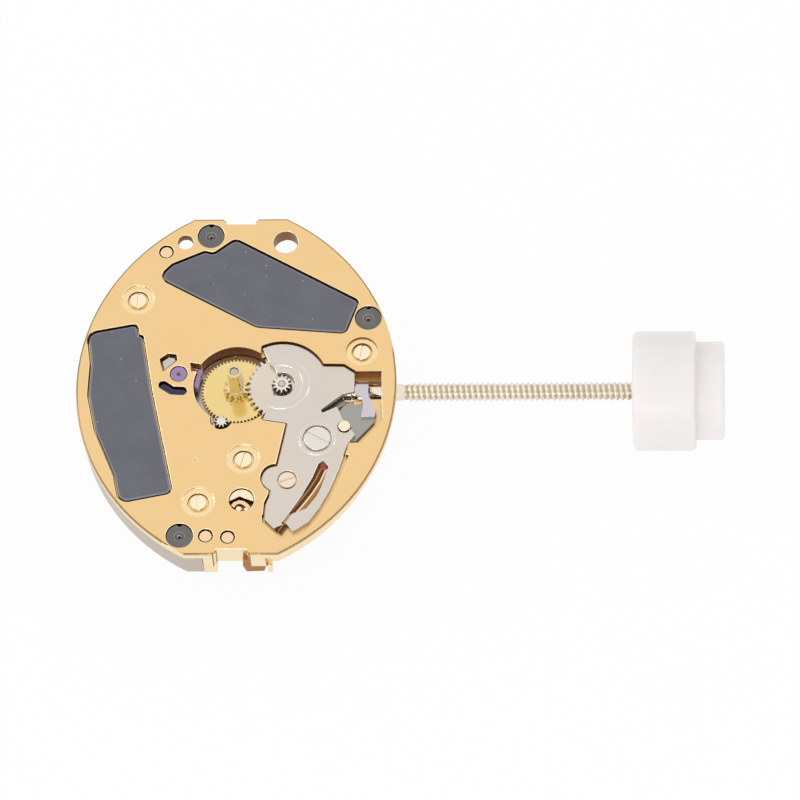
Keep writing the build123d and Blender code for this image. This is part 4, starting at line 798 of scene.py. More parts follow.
@dataclass
class Form:
    """A mesh under construction."""

    points: list[Point] = field(default_factory=list)
    faces: list[tuple[int, ...]] = field(default_factory=list)
    paints: list[int] = field(default_factory=list)

    def add(self, points: Iterable[Point], faces: Iterable[Sequence[int]], paint: int = 0) -> None:
        """Adds points and the faces between them.

        Args:
            points: the new points.
            faces: the new faces, counted from the first new point.
            paint: the finish that the faces take.
        """
        start = len(self.points)
        self.points.extend(tuple(point) for point in points)
        for face in faces:
            self.faces.append(tuple(start + index for index in face))
            self.paints.append(paint)

    def lathe(
        self, profile: Sequence[Place], centre: Point, axis: Axis, sides: int, paint: int = 0
    ) -> None:
        """Turns a profile about an axis.

        Args:
            profile: distances along the axis with their radii.
            centre: a point of the axis.
            axis: the axis.
            sides: the number of sides.
            paint: the finish that the faces take.
        """
        along, first, second = axis.value
        points, rows = [], []
        for distance, radius in profile:
            count = 1 if radius <= 0 else sides
            rows.append((len(points), count))
            for side in range(count):
                turn = side * math.tau / sides
                point = list(centre)
                point[along] += distance
                point[first] += radius * math.cos(turn)
                point[second] += radius * math.sin(turn)
                points.append(tuple(point))
        faces = []
        for (low, low_count), (high, high_count) in zip(rows, rows[1:]):
            for side in range(sides):
                after = (side + 1) % sides
                if low_count == 1:
                    faces.append((low, high + after, high + side))
                elif high_count == 1:
                    faces.append((low + side, low + after, high))
                else:
                    faces.append((low + side, low + after, high + after, high + side))
        self.add(points, faces, paint)

    def prism(
        self, outline: Sequence[Place], top: float, bottom: float, paint: int = 0
    ) -> None:
        """A flat outline given thickness.

        Args:
            outline: the outline's points.
            top: the upper height.
            bottom: the lower height.
            paint: the finish that the faces take.
        """
        count = len(outline)
        points = [(x, y, bottom) for x, y in outline] + [(x, y, top) for x, y in outline]
        faces = [tuple(reversed(range(count))), tuple(range(count, 2 * count))]
        for side in range(count):
            after = (side + 1) % count
            faces.append((side, after, count + after, count + side))
        self.add(points, faces, paint)

    def ribbon(
        self, path: Sequence[Place], width: float, top: float, bottom: float, paint: int = 0
    ) -> None:
        """A flat strip that follows a path.

        Args:
            path: the points of its middle line.
            width: the strip's width.
            top: the upper height.
            bottom: the lower height.
            paint: the finish that the faces take.
        """
        left, right = [], []
        for index, point in enumerate(path):
            before = Vector(path[max(index - 1, 0)])
            after = Vector(path[min(index + 1, len(path) - 1)])
            way = (after - before).normalized()
            aside = Vector((-way.y, way.x)) * (width / 2)
            left.append(tuple(Vector(point) + aside))
            right.append(tuple(Vector(point) - aside))
        self.prism(right + left[::-1], top, bottom, paint)

    def box(self, low: Point, high: Point, paint: int = 0) -> None:
        """A block between two corners.

        Args:
            low: the lowest corner.
            high: the highest corner.
            paint: the finish that the faces take.
        """
        outline = [(low[0], low[1]), (high[0], low[1]), (high[0], high[1]), (low[0], high[1])]
        self.prism(outline, high[2], low[2], paint)

    def copy_node(self, node: str, painter: Painter | None = None) -> None:
        """Takes over the shape of a CAD node, with its flat faces made whole.

        Args:
            node: the node's name.
            painter: names the finish of a face from its middle and its normal.
        """
        soft = bmesh.new()
        soft.from_mesh(FRAME["nodes"][node].data)
        bmesh.ops.remove_doubles(soft, verts=soft.verts, dist=WELD_REACH)
        bmesh.ops.dissolve_limit(
            soft, angle_limit=FLAT_TURN, verts=soft.verts, edges=soft.edges, delimit=set()
        )
        soft.verts.ensure_lookup_table()
        soft.verts.index_update()
        points = [tuple(vert.co) for vert in soft.verts]
        faces = [[vert.index for vert in face.verts] for face in soft.faces]
        paints = [
            painter(face.calc_center_median(), face.normal) if painter else 0 for face in soft.faces
        ]
        soft.free()
        self.add(points, faces)
        self.paints[-len(paints):] = paints

    def build(
        self,
        name: str,
        body: str,
        finishes: Sequence[Finish],
        stands_for: Sequence[str] = (),
        slot: str = "",
        edging: Edging | None = None,
        smooth: float = 35.0,
    ) -> bpy.types.Object:
        """Makes the object, hangs it on the body that it rides on and hides the CAD nodes that it stands for.

        Args:
            name: the piece's name.
            body: the CAD body that it rides on.
            finishes: the finishes, by paint number.
            stands_for: the CAD nodes that it replaces.
            slot: the record's material slot, for a piece that replaces nothing; not used.
            edging: how its edges are eased.
            smooth: the angle in degrees up to which it is shaded smooth.

        Returns:
            The object.
        """
        mesh = bpy.data.meshes.new(name)
        mesh.from_pydata(self.points, [], self.faces)
        for finish in finishes:
            mesh.materials.append(finish.material())
        mesh.polygons.foreach_set("material_index", self.paints)
        shaded_smooth = [not edging or len(face) <= edging.flat_from for face in self.faces]
        mesh.polygons.foreach_set("use_smooth", shaded_smooth)
        mesh.validate()
        mesh.update()
        piece = bpy.data.objects.new(name, mesh)
        bpy.context.scene.collection.objects.link(piece)
        if edging:
            edging.ease(piece, len(finishes))
        else:
            mesh.set_sharp_from_angle(angle=math.radians(smooth))
        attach(piece, body)
        if stands_for:
            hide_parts(*stands_for)
        LOG.info("%s: %d faces on %s", name, len(mesh.polygons), body)
        return piece


def soften(
    node: str, body: str, edging: Edging, *finishes: Finish, painter: Painter | None = None
) -> bpy.types.Object:
    """Replaces a CAD node by its own shape with eased edges.

    Args:
        node: the node's name.
        body: the body that it rides on.
        edging: how its edges are eased.
        finishes: the finishes, the last of which is the edges' where they are painted.
        painter: names the finish of a face from its middle and its normal.

    Returns:
        The new piece.
    """
    form = Form()
    form.copy_node(node, painter)
    return form.build(f"{node}_eased", body, finishes, stands_for=(node,), edging=edging)


@dataclass
class Studio:
    """The pale floor, the soft light and the camera."""

    floor_height: float = -3.68 * MM
    floor_size: float = 600 * MM
    tilt: Point = (-27.22, -2.75, -1.10)
    offset: Point = (-7.734 * MM, 0.710 * MM, -400 * MM)
    lens: float = 381.5
    clip: tuple[float, float] = (0.01, 10.0)
    world_level: float = 0.76
    glow_share: float = 0.94
    mottle_scale: float = 60.0
    pale: Colour = (0.97, 0.97, 0.97)
    less_pale: Colour = (0.93, 0.93, 0.93)
    lamps: tuple[tuple[str, Point, Place, float], ...] = (
        ("front_lamp", (-90, -300, 170), (300, 30), 0.22),
        ("left_lamp", (-260, 90, 240), (120, 60), 0.14),
        ("right_lamp", (280, 60, 200), (60, 160), 0.06),
    )

    def camera(self) -> None:
        """Puts the camera where the photograph was taken."""
        turns = [
            Matrix.Rotation(math.radians(angle), 3, axis) for angle, axis in zip(self.tilt, "XYZ")
        ]
        view = turns[0] @ turns[1] @ turns[2]
        data = bpy.data.cameras.new("camera")
        data.lens = self.lens
        data.clip_start, data.clip_end = self.clip
        camera = bpy.data.objects.new("camera", data)
        camera.matrix_world = Matrix.LocRotScale(
            -(view.transposed() @ Vector(self.offset)), view.transposed().to_quaternion(), None
        )
        bpy.context.scene.collection.objects.link(camera)
        bpy.context.scene.camera = camera

    def seen_directly(self, tree: ShaderTree) -> Wire:
        """One for the rays that show the background as it is.

        Args:
            tree: the tree to fill.

        Returns:
            The mask.
        """
        rays = [
            tree.node("ShaderNodeLightPath", out=name)
            for name in ("Is Camera Ray", "Is Glossy Ray", "Is Transmission Ray")
        ]
        return rays[0].largest(rays[1]).largest(rays[2])

    def world(self) -> None:
        """White round about, at a plain level of light."""
        world = bpy.data.worlds.new("studio")
        world.use_nodes = True
        bpy.context.scene.world = world
        tree = ShaderTree(world.node_tree)
        light = tree.node("ShaderNodeBackground", None, {"Color": WHITE, "Strength": self.world_level})
        white = tree.node("ShaderNodeBackground", None, {"Color": WHITE, "Strength": 1.0})
        shown = tree.node("ShaderNodeMixShader", None, {0: self.seen_directly(tree), 1: light, 2: white})
        tree.node("ShaderNodeOutputWorld", None, {"Surface": shown})

    def floor(self) -> None:
        """A pale floor that stays white and still takes the object's shadow."""
        half = self.floor_size / 2
        sides = [(-half, -half), (half, -half), (half, half), (-half, half)]
        mesh = bpy.data.meshes.new("floor")
        mesh.from_pydata([(x, y, self.floor_height) for x, y in sides], [], [(0, 1, 2, 3)])
        material, tree = new_material("pale_floor")
        faint = tree.noise(tree.place(self.mottle_scale), detail=2.0)
        paint = tree.node(
            "ShaderNodeBsdfDiffuse", None, {"Color": tree.mix(faint, self.pale, self.less_pale)}
        )
        glow = tree.node("ShaderNodeEmission", None, {"Color": WHITE, "Strength": 1.0})
        share = self.seen_directly(tree) * self.glow_share
        tree.surface(tree.node("ShaderNodeMixShader", None, {0: share, 1: paint, 2: glow}))
        mesh.materials.append(material)
        floor = bpy.data.objects.new("floor", mesh)
        bpy.context.scene.collection.objects.link(floor)
        floor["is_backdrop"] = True

    def lamp(self, name: str, place: Point, size: Place, power: float) -> None:
        """A soft lamp aimed at the movement.

        Args:
            name: the lamp's name.
            place: where it stands, in millimetres.
            size: its width and height in millimetres.
            power: its power in watts.
        """
        data = bpy.data.lights.new(name, "AREA")
        data.shape = "RECTANGLE"
        data.size, data.size_y = size[0] * MM, size[1] * MM
        data.energy = power
        lamp = bpy.data.objects.new(name, data)
        lamp.location = Vector(place) * MM
        lamp.rotation_mode = "QUATERNION"
        lamp.rotation_quaternion = (-Vector(place)).to_track_quat("-Z", "Y")
        bpy.context.scene.collection.objects.link(lamp)

    def build(self) -> None:
        """Sets up the studio."""
        self.camera()
        self.world()
        self.floor()
        for lamp in self.lamps:
            self.lamp(*lamp)
        bpy.context.scene.view_settings.view_transform = "Standard"
        LOG.info("studio: camera, floor and lamps")


@dataclass
class Plate:
    """The gold plate with its inserts, bushings, screws and pins."""

    edge: Edging = Edging(0.036 * MM, from_angle=40.0, painted=True)
    insert_lit_edge: Edging = Edging(0.070 * MM, segments=3, from_angle=40.0, painted=True)
    side_radius: float = 10.056 * MM
    rim_depth: float = 0.45 * MM
    end_depth: float = 0.50 * MM
    recess_floor: float = -0.12 * MM
    floor_slack: float = 0.01 * MM
    screw_places: Outline = ((-0.632, 0.515), (0.780, 0.197), (0.059, -0.438), (-0.214, -0.690))
    slot_reach: float = 0.20 * MM
    slot_bottom: float = -0.30 * MM
    bushing_places: Outline = ((-0.187, 0.898), (0.815, 0.398), (-0.323, -0.889))
    bushing_top: float = -0.08 * MM
    funnel_shell: Outline = (
        (-0.42, 0.055), (-0.42, 0.194), (-0.03, 0.194), (-0.005, 0.174), (-0.06, 0.095),
    )
    funnel_throat: Outline = ((-0.06, 0.095), (-0.11, 0.060), (-0.42, 0.055))
    contact_place: Place = (0.055, -0.678)
    contact_radius: float = 0.585 * MM
    leaf_turns: range = range(-6, 190, 7)
    leaf_dip: Place = (-0.10, 0.22)
    leaf_heights: Place = (-0.10 * MM, -0.18 * MM)
    arch: Outline = (
        (-0.44, -0.24), (-0.34, -0.06), (-0.14, 0.03), (0.08, -0.02), (0.24, -0.16), (0.34, -0.34),
    )
    arch_width: float = 0.22 * MM
    arch_heights: Place = (-0.30 * MM, -0.38 * MM)
    domes: tuple[Point, ...] = ((-0.14, -0.34, 0.17), (0.22, -0.36, 0.13))
    dome_steps: Outline = ((-1.10, 0.0), (-1.10, 1.0), (-0.34, 1.0), (-0.29, 0.7), (-0.27, 0.0))
    hole_floor: Place = (-1.20 * MM, -0.46 * MM)
    end_reach: Place = (0.02, 0.50)
    end_boxes: tuple[tuple[Place, Place, int], ...] = (
        ((-1.40, -0.86), (-1.10, -0.66), 1),
        ((-1.36, -0.72), (-1.95, -1.12), 0),
        ((1.62, 1.86), (-2.00, -1.30), 0),
    )
    end_plate: Outline = (
        (0.52, -0.70), (1.30, -0.70), (1.60, -1.20), (1.48, -1.84), (0.62, -1.90), (0.48, -1.30),
    )

    def paint(self, middle: Vector, normal: Vector) -> int:
        """The finish of a face: brown painted shade on the walls inside the pockets, a paler gold as painted
        highlight on the outward faces of the outer wall, and pale round the screws.

        Args:
            middle: the face's middle.
            normal: the face's normal.

        Returns:
            The finish's number.
        """
        if level(normal):
            return 3 if abs(middle.z - self.recess_floor) < self.floor_slack else 0
        reach = math.hypot(abs(middle.x) + self.side_radius - HALF_WIDTH, middle.y)
        outward = normal.x * middle.x + normal.y * middle.y > 0
        outer = reach > self.side_radius - self.rim_depth or abs(middle.y) > HALF_LENGTH - self.end_depth
        # outward faces of the outer wall get the painted highlight, every other upright face the brown
        # painted shade
        return 2 if outer and outward else 1

    def screw_shade_paint(self, middle: Vector, normal: Vector) -> int:
        """The finish of a gold screw's face, with a darker colour painted as shade on the walls in the slot
        of its head.

        Args:
            middle: the face's middle.
            normal: the face's normal.

        Returns:
            The finish's number.
        """
        near = min(math.dist(middle.xy, plate_point(*share)) for share in self.screw_places)
        return int(not level(normal) and near < self.slot_reach and middle.z > self.slot_bottom)

    def funnel(self, centre: Place) -> Form:
        """The dark funnel in the mouth of a bushing's bore, with its bright throat.

        Args:
            centre: the bore's axis.

        Returns:
            The form.
        """
        form = Form()
        for paint, profile in enumerate((self.funnel_shell, self.funnel_throat)):
            form.lathe(metres(profile), (*centre, self.bushing_top), Axis.Z, sides=32, paint=paint)
        return form

    def contact_leaves(self) -> Form:
        """The bent gold leaves in the contact hole, one over the other, above the blades that they end.

        Returns:
            The form.
        """
        form = Form()
        cx, cy = plate_point(*self.contact_place)
        arc = circle((cx, cy), self.contact_radius, self.leaf_turns)
        dip = (cx + self.leaf_dip[0] * MM, cy + self.leaf_dip[1] * MM)
        form.prism([*arc, dip], *self.leaf_heights)
        path = [(cx + x * MM, cy + y * MM) for x, y in self.arch]
        form.ribbon(path, self.arch_width, *self.arch_heights, paint=1)
        for x, y, radius in self.domes:
            steps = metres((height, share * radius) for height, share in self.dome_steps)
            form.lathe(steps, (cx + x * MM, cy + y * MM, 0.0), Axis.Z, sides=24)
        low, high, reach = *self.hole_floor, self.contact_radius
        floor = [(low, 0.0), (low, reach), (high, reach), (high, 0.0)]
        form.lathe(floor, (cx, cy, 0.0), Axis.Z, sides=40, paint=2)
        return form

    def end_blocks(self) -> Form:
        """The ends of the contact springs that stand out under the notch at 6 o'clock.

        Returns:
            The form.
        """
        form = Form()
        low, high = (-HALF_LENGTH + reach * MM for reach in self.end_reach)
        for (left, right), (bottom, top), paint in self.end_boxes:
            form.box((left * MM, low, bottom * MM), (right * MM, high, top * MM), paint)
        points = [(x * MM, y, z * MM) for y in (low, high) for x, z in self.end_plate]
        count = len(self.end_plate)
        faces = [tuple(range(count)), tuple(reversed(range(count, 2 * count)))]
        for side in range(count):
            after = (side + 1) % count
            faces.append((side, count + side, count + after, after))
        form.add(points, faces, paint=1)
        return form

    def build(self) -> None:
        """Builds the plate and what sits in it."""
        paints = Finishes
        soften(
            "main_plate", "root", self.edge, paints.gold, paints.gold_wall_shade, paints.gold_side, paints.recess,
            paints.gold_edge_painted_light, painter=self.paint,
        )
        # the inserts' and bushings' bevels take the lighter grey as painted highlight
        for node in ("top_insert", "left_insert"):
            soften(node, "root", self.insert_lit_edge, paints.insert, paints.insert_lit_edge)
        soften(
            "dial_foot_bushings", "root", Edging(0.05 * MM, segments=3, painted=True), paints.bushing,
            paints.insert_lit_edge,
        )
        for index, share in enumerate(self.bushing_places, 1):
            self.funnel(plate_point(*share)).build(
                f"bushing_funnel_{index}", "root", [paints.bushing, paints.can], slot="bushing_plastic"
            )
        soften(
            "plate_screws", "root", Edging(0.05 * MM, segments=3), paints.gold_screw, paints.screw_slot_shade,
            painter=self.screw_shade_paint,
        )
        soften("locating_pins", "root", Edging(0.05 * MM, segments=3), paints.pin)
        self.contact_leaves().build(
            "contact_leaves", "root", [paints.gold_screw, paints.pin, paints.block],
            stands_for=("battery_contacts",), edging=Edging(0.03 * MM),
        )
        self.end_blocks().build(
            "contact_spring_ends", "root", [paints.gold_side, paints.block], slot="wheel_brass",
            edging=Edging(0.04 * MM),
        )
        soften("slot_blade", "root", Edging(), paints.steel)
        soften(
            "shock_plug", "root", Edging(0.09 * MM, segments=3, painted=True), paints.plug, paints.plug_rim_highlight
        )


@dataclass
class HandTrain:
    """The wheels between the motor and the hands."""

    minute_axis: Place = (2.1485 * MM, 0.0900 * MM)
    third_axis: Place = (-0.6647 * MM, -1.8066 * MM)
    intermediate_axis: Place = (-1.5333 * MM, -0.2713 * MM)
    fine_edge: Edging = Edging(0.010 * MM, segments=1, from_angle=30.0)
    third_pinion_foot: float = -0.88 * MM
    minute_pinion_foot: float = -0.40 * MM
    crescent_reach: float = 1.90 * MM
    crescent_width: float = 0.20 * MM
    crescent_turns: range = range(152, 183, 3)
    crescent_heights: Place = (-0.14 * MM, -0.60 * MM)
    minute_colour: Colour = linear(232, 222, 206)
    minute_tint: Colour = linear(214, 202, 184)

    @staticmethod
    def pinion_light_paint(foot: float) -> Painter:
        """Painted light for a steel pinion that stands on its wheel: a painted highlight on its level tops
        and painted shade on its upright faces and in its gaps.

        Args:
            foot: the height at which the pinion starts.

        Returns:
            What names the finish of each face.
        """
        return lambda middle, normal: 0 if middle.z < foot else 1 if normal.z > 0.5 else 2

    def crescent(self) -> None:
        """The violet edge of the motor's cover that shows at the left of the centre wheel."""
        form = Form()
        path = circle((0.0, 0.0), self.crescent_reach, self.crescent_turns)
        form.ribbon(path, self.crescent_width, *self.crescent_heights)
        form.build("motor_cover_edge", "root", [Finishes.jewel], slot="jewel", edging=Edging(0.03 * MM))

    def build(self) -> None:
        """Builds the wheels, pinions and jewels."""
        paints, fine = Finishes, self.fine_edge
        soften("center_tube", "root", Edging(), paints.nickel)
        soften("center_wheel", "center", fine, paints.wheel("center_brass", (0.0, 0.0)))
        soften(
            "third_wheel", "third", fine, paints.wheel("third_brass", self.third_axis), paints.pinion_top_highlight,
            paints.pinion_gap_shade, painter=self.pinion_light_paint(self.third_pinion_foot),
        )
        soften(
            "intermediate_wheel", "intermediate", fine,
            paints.wheel("intermediate_brass", self.intermediate_axis),
        )
        soften("cannon_pinion", "cannon", Edging(), paints.cannon)
        minute = paints.turned("minute_steel", self.minute_axis, self.minute_colour, self.minute_tint)
        soften(
            "minute_wheel", "minute", fine, minute, paints.pinion_top_highlight, paints.pinion_gap_shade,
            painter=self.pinion_light_paint(self.minute_pinion_foot),
        )
        soften("minute_stud", "root", Edging(0.03 * MM), paints.steel)
        soften("rotor", "rotor", Edging(0.012 * MM, segments=1), paints.magnet)
        soften("rotor_jewel", "root", Edging(0.06 * MM, segments=3), paints.jewel)
        self.crescent()


@dataclass
class KeylessWorks:
    """The steel bridge over the setting works, with the springs in its slot."""

    slot_line: Outline = ((4.24, -4.26), (3.98, -4.90), (3.62, -5.52), (3.20, -6.12), (2.80, -6.66))
    spring_paints: tuple[int, ...] = (1, 0, 1, 2, 0)
    spring_gap: float = 0.125 * MM
    spring_way: Place = (0.86, -0.50)
    spring_width: float = 0.105 * MM
    spring_tops: Place = (-0.27 * MM, -0.29 * MM)
    spring_foot: float = -0.366 * MM
    rivet_place: Place = (4.22 * MM, -4.20 * MM)
    rivet: Outline = ((-0.366, 0.0), (-0.366, 0.17), (-0.26, 0.17), (-0.22, 0.13), (-0.21, 0.0))
    bundle: Place = (2.24 * MM, -7.34 * MM)
    bundle_turn: float = math.radians(56.0)
    bundle_half: float = 0.26 * MM
    bundle_gap: float = 0.105 * MM
    bundle_width: float = 0.085 * MM
    bundle_top: float = -0.16 * MM
    lever_step: float = -0.385 * MM
    lever_pin: Place = (5.159 * MM, -2.163 * MM)
    foot_corner: Place = (4.93 * MM, -2.86 * MM)
    foot_keep: float = 0.86

    def lever_light_paint(self, middle: Vector, normal: Vector) -> int:
        """The finish of a face of the setting lever: its raised head takes the brighter steel as painted
        highlight, the lower part the darker steel as painted shade.

        Args:
            middle: the face's middle.
            normal: the face's normal.

        Returns:
            The finish's number.
        """
        return int(middle.z > self.lever_step)

    def lever(self) -> None:
        """The setting lever, with the corner of its foot drawn in so that it swings clear of the plate."""
        form = Form()
        form.copy_node("setting_lever", self.lever_light_paint)
        pin_x, pin_y = self.lever_pin
        for index, (x, y, z) in enumerate(form.points):
            if x < self.foot_corner[0] and y < self.foot_corner[1]:
                keep = self.foot_keep
                form.points[index] = (pin_x + (x - pin_x) * keep, pin_y + (y - pin_y) * keep, z)
        # the lever's lower part takes the darker steel as painted shade, its raised head the brighter steel
        # as painted highlight
        form.build(
            "setting_lever_eased", "lever", [Finishes.dark_steel, Finishes.lever_head_highlight],
            stands_for=("setting_lever",), edging=Edging(),
        )

    def springs(self) -> None:
        """The thin springs side by side in the long slot, and the rivet at its upper end."""
        form = Form()
        way_x, way_y = self.spring_way
        for index, paint in enumerate(self.spring_paints):
            aside = (index - 2) * self.spring_gap
            path = [(x + aside * way_x, y + aside * way_y) for x, y in metres(self.slot_line)]
            form.ribbon(path, self.spring_width, self.spring_tops[index % 2], self.spring_foot, paint)
        form.build(
            "slot_springs", "root", [Finishes.spring, Finishes.dark_spring, Finishes.pin], slot="wheel_brass",
            edging=Edging(0.012 * MM, segments=1),
        )
        cap = Form()
        cap.lathe(metres(self.rivet), (*self.rivet_place, 0.0), Axis.Z, sides=24)
        cap.build("slot_rivet", "root", [Finishes.red_lever], slot="copper_wire")

    def spring_bundle(self) -> None:
        """The coiled end of the springs below the long slot."""
        form = Form()
        turn = self.bundle_turn
        along = Vector((math.cos(turn), math.sin(turn))) * self.bundle_half
        across = Vector((-math.sin(turn), math.cos(turn))) * self.bundle_gap
        for index in range(5):
            middle = Vector(self.bundle) + across * (index - 2)
            path = [tuple(middle - along), tuple(middle), tuple(middle + along)]
            form.ribbon(path, self.bundle_width, self.bundle_top, self.spring_foot, index % 2)
        form.build(
            "spring_bundle", "root", [Finishes.dark_spring, Finishes.spring], slot="wheel_brass",
            edging=Edging(0.015 * MM, segments=1),
        )

    def build(self) -> None:
        """Builds the bridge and the pieces round it."""
        paints = Finishes
        soften(
            "keyless_bridge", "root", Edging(0.022 * MM, from_angle=40.0, painted=True), paints.bridge,
            paints.bridge_edge_highlight,
        )
        soften("bridge_screw", "root", Edging(0.035 * MM, segments=3), paints.bridge_screw)
        soften("keyless_small_screw", "root", Edging(0.03 * MM), paints.small_screw)
        soften("lever_pin", "root", Edging(0.04 * MM, segments=3), paints.gold_screw)
        self.lever()
        soften("shift_fork", "fork", Edging(0.015 * MM, segments=1), paints.dark_steel)
        soften("sliding_pinion", "pinion", Edging(0.015 * MM), paints.steel)
        self.springs()
        self.spring_bundle()


@dataclass
class StemAndKnob:
    """The threaded stem and its white protective knob."""

    square: tuple[Point, Point] = ((3.95, -0.23, -1.07), (5.45, 0.23, -0.61))
    shoulders: Outline = (
        (5.45, 0.0), (5.45, 0.37), (5.48, 0.40), (5.70, 0.40), (5.73, 0.37), (5.73, 0.24), (6.21, 0.24),
        (6.21, 0.37), (6.24, 0.40), (7.80, 0.40), (7.90, 0.36), (7.95, 0.34), (7.95, 0.0),
    )
    thread_start: float = 7.95 * MM
    thread_end: float = 20.37 * MM
    pitch: float = 0.27 * MM
    major: float = 0.44 * MM
    depth: float = 0.10 * MM
    flank_slope: float = 1.45
    flank_foot: float = 0.15
    groove_share: float = 0.70
    thread_sides: int = 40
    steps_per_turn: int = 14
    knob_bore: Outline = ((20.39, 0.0), (20.39, 0.46))
    knob_corners: tuple[Point, ...] = (
        (18.72, 0.46, 0.0), (18.72, 2.82, 0.22), (21.67, 2.82, 0.16), (21.67, 2.32, 0.10),
        (23.02, 2.32, 0.18), (23.02, 0.0, 0.0),
    )

    def thread_radius(self, along: float, turn: float) -> float:
        """The radius of the thread's surface at a place.

        Args:
            along: the distance from the hand axis.
            turn: the direction round the axis, from 0 to 1.

        Returns:
            The radius.
        """
        phase = ((along - self.thread_start) / self.pitch - turn) % 1.0
        ridge = min(1.0, max(0.0, self.flank_slope * (1.0 - abs(2.0 * phase - 1.0)) - self.flank_foot))
        run_in = min(1.0, max(0.0, (along - self.thread_start) / self.pitch))
        run_out = min(1.0, max(0.0, (self.thread_end - along) / self.pitch))
        return self.major - self.depth * (1.0 - ridge * min(run_in, run_out))

    def thread(self, form: Form) -> None:
        """Cuts the thread as a true helix; the faces deep in its grooves take the second finish, a darker
        painted shade.

        Args:
            form: the form to add it to.
        """
        length, sides = self.thread_end - self.thread_start, self.thread_sides
        rows = round(length / self.pitch * self.steps_per_turn)
        points, faces = [], []
        for row in range(rows + 1):
            along = self.thread_start + length * row / rows
            for side in range(sides):
                radius, turn = self.thread_radius(along, side / sides), side / sides * math.tau
                points.append((along, radius * math.cos(turn), STEM_AXIS_Z + radius * math.sin(turn)))
        for row in range(rows):
            for side in range(sides):
                after = (side + 1) % sides
                low, high = row * sides, (row + 1) * sides
                faces.append((low + side, low + after, high + after, high + side))
        faces.append(tuple(reversed(range(sides))))
        faces.append(tuple(range(rows * sides, (rows + 1) * sides)))
        form.add(points, faces)
        first = len(form.paints) - len(faces)
        for index, face in enumerate(faces[:-2]):
            reach = sum(math.hypot(points[spot][1], points[spot][2] - STEM_AXIS_Z) for spot in face)
            # faces that lie deep in the grooves take the painted shade
            if reach / len(face) < self.major - self.depth * self.groove_share:
                form.paints[first + index] = 1

    def stem(self) -> None:
        """Turns the stem and adds its thread."""
        form = Form()
        form.box(*metres(self.square))
        form.lathe(metres(self.shoulders), (0.0, 0.0, STEM_AXIS_Z), Axis.X, sides=40)
        self.thread(form)
        form.build(
            "winding_stem_turned", "stem", [Finishes.stem, Finishes.groove_shade], stands_for=("winding_stem",),
            smooth=50.0,
        )

    def knob(self) -> None:
        """Turns the knob with its rounded rims."""
        form = Form()
        profile = metres(self.knob_bore) + rounded(self.knob_corners)
        form.lathe(profile, (0.0, 0.0, STEM_AXIS_Z), Axis.X, sides=96)
        form.build("stem_knob_turned", "stem", [Finishes.knob], stands_for=("stem_knob",), smooth=40.0)

    def build(self) -> None:
        """Builds the stem and the knob."""
        self.stem()
        self.knob()


@dataclass
class Motor:
    """The coil, its core and the stator of the stepping motor."""

    coil_x: float = -0.697 * HALF_WIDTH
    coil_z: float = -1.22 * MM
    coil_low: float = -4.15 * MM
    coil_high: float = 2.25 * MM
    coil_radius: float = 0.60 * MM
    bore_radius: float = 0.30 * MM
    flange_radius: float = 0.66 * MM
    flange_length: float = 0.14 * MM
    flange_ease: float = 0.02 * MM
    wire: float = 0.055 * MM
    wire_dips: Outline = ((0.0, 0.016), (0.25, 0.004), (0.5, 0.0), (0.75, 0.004))

    def winding(self) -> None:
        """The coil with the ridges of its outer layer of wire."""
        form = Form()
        centre = (self.coil_x, 0.0, self.coil_z)
        low, high = self.coil_low + self.flange_length, self.coil_high - self.flange_length
        turns = round((high - low) / self.wire)
        pitch = (high - low) / turns
        profile = [(low, self.bore_radius)]
        for turn in range(turns):
            for share, dip in self.wire_dips:
                profile.append((low + (turn + share) * pitch, self.coil_radius - dip * MM))
        profile.append((high, self.coil_radius - self.wire_dips[0][1] * MM))
        profile.append((high, self.bore_radius))
        form.lathe(profile, centre, Axis.Y, sides=40)
        radius, ease = self.flange_radius, self.flange_ease
        for start, end in ((self.coil_low, low), (high, self.coil_high)):
            flange = [
                (start, 0.0), (start, radius - ease), (start + ease, radius), (end - ease, radius),
                (end, radius - ease), (end, 0.0),
            ]
            form.lathe(flange, centre, Axis.Y, sides=40, paint=1)
        form.build(
            "coil_winding_wound", "root", [Finishes.copper, Finishes.bushing], stands_for=("coil_winding",),
            smooth=60.0,
        )

    def build(self) -> None:
        """Builds the motor's fixed pieces."""
        self.winding()
        for node in ("coil_core", "stator"):
            soften(node, "root", Edging(0.015 * MM), Finishes.core_iron)


@dataclass
class Supply:
    """The button cell with its strap."""

    centre: Place = (0.363 * HALF_WIDTH, 0.500 * HALF_LENGTH)
    can: Outline = (
        (-2.02, 0.0), (-2.02, 2.22), (-2.00, 2.32), (-1.93, 2.395), (-1.82, 2.40), (-0.80, 2.40),
        (-0.73, 2.37), (-0.70, 2.30), (-0.68, 2.20),
    )
    seal: Outline = ((-0.68, 2.20), (-0.65, 2.16), (-0.68, 2.08))
    cap: Outline = ((-0.68, 2.08), (-0.48, 2.04), (-0.42, 1.96), (-0.42, 0.0))

    def cell(self) -> None:
        """The cell with its rolled rim, seal and cap."""
        form = Form()
        for profile, paint in ((self.can, 0), (self.seal, 1), (self.cap, 0)):
            form.lathe(metres(profile), (*self.centre, 0.0), Axis.Z, sides=96, paint=paint)
        shell = Finishes.turned("cell_shell", self.centre, linear(218, 216, 212), linear(202, 200, 197))
        form.build("button_cell_rolled", "root", [shell, Finishes.bushing], stands_for=("button_cell",))

    def build(self) -> None:
        """Builds the cell, its strap and the strap's screw."""
        self.cell()
        soften("cell_clamp", "root", Edging(), Finishes.steel)
        soften("cell_clamp_screw", "root", Edging(), Finishes.gold_screw)


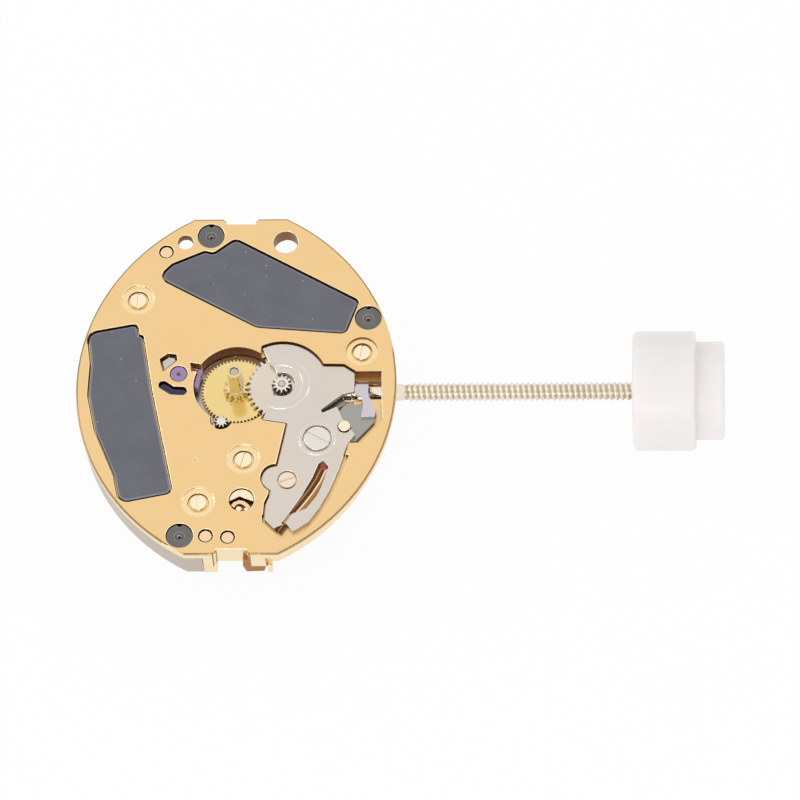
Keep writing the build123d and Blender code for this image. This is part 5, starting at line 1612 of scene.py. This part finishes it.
@dataclass
class Circuit:
    """The circuit board with its tracks, chip and quartz can, and the nickel cover."""

    board_bottom: float = -1.49 * MM
    track_depth: float = 0.018 * MM
    track_width: float = 0.13 * MM
    track_turns: range = range(20, 380, 45)
    track_start: float = 0.80 * MM
    track_ends: tuple[float, ...] = (1.12 * MM, 1.22 * MM, 1.32 * MM)
    pad_sides: int = 16
    pad_depth: float = 0.004 * MM
    chip_centre: Place = (0.430 * HALF_WIDTH, -0.560 * HALF_LENGTH)
    can_centre: Point = (0.150 * HALF_WIDTH, -0.790 * HALF_LENGTH, -1.46 * MM)
    can_corners: tuple[Point, ...] = (
        (-1.70, 0.0, 0.0), (-1.70, 0.45, 0.04), (-1.58, 0.50, 0.03), (1.50, 0.50, 0.10),
        (1.70, 0.40, 0.10), (1.70, 0.0, 0.0),
    )

    def tracks(self) -> None:
        """Copper tracks and solder pads on the open side of the board."""
        form = Form()
        top, bottom = self.board_bottom, self.board_bottom - self.track_depth
        for index, turn in enumerate(self.track_turns):
            reach = self.track_ends[index % len(self.track_ends)]
            ends = [circle(self.chip_centre, radius, [turn])[0] for radius in (self.track_start, reach)]
            form.ribbon(ends, self.track_width, top, bottom)
            pad_turns = [side * 360 / self.pad_sides for side in range(self.pad_sides)]
            form.prism(circle(ends[1], self.track_width, pad_turns), top, bottom - self.pad_depth)
        form.build("board_tracks", "root", [Finishes.track], slot="wheel_brass")

    def can(self) -> None:
        """The drawn quartz can."""
        form = Form()
        form.lathe(rounded(self.can_corners), self.can_centre, Axis.X, sides=40)
        form.build("quartz_can_drawn", "root", [Finishes.can], stands_for=("quartz_crystal",), smooth=60.0)

    def build(self) -> None:
        """Builds the electrical pieces and the cover."""
        soften("circuit_board", "root", Edging(), Finishes.board)
        soften("circuit_chip", "root", Edging(0.03 * MM, from_angle=40.0), Finishes.chip)
        self.tracks()
        self.can()
        soften("circuit_cover", "root", Edging(0.03 * MM, segments=3), Finishes.nickel)


@dataclass
class TrainBridge:
    """The gold bridge under the plate with its jewels and screws."""

    edge: Edging = Edging(0.025 * MM, segments=3, from_angle=40.0, painted=True)

    def build(self) -> None:
        """Builds the bridge."""
        soften("train_bridge", "root", self.edge, Finishes.gold, Finishes.gold_edge_painted_light)
        soften("train_bridge_screws", "root", Edging(), Finishes.gold_screw)
        soften("train_jewels", "root", Edging(0.03 * MM, segments=3), Finishes.jewel)


def corners() -> list[list[float]]:
    """The two corners of the shown object's box, as plain lists.

    Returns:
        The lowest and the highest corner.
    """
    return [list(corner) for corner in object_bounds()]


def main() -> None:
    """Builds the studio and every sub-assembly."""
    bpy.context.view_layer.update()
    Studio().build()
    for assembly in (
        Plate(), HandTrain(), KeylessWorks(), StemAndKnob(), Motor(), Supply(), Circuit(), TrainBridge()
    ):
        assembly.build()


if __name__ == "__main__":
    logging.basicConfig(level=logging.INFO, format="%(message)s")
    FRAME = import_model()
    main()
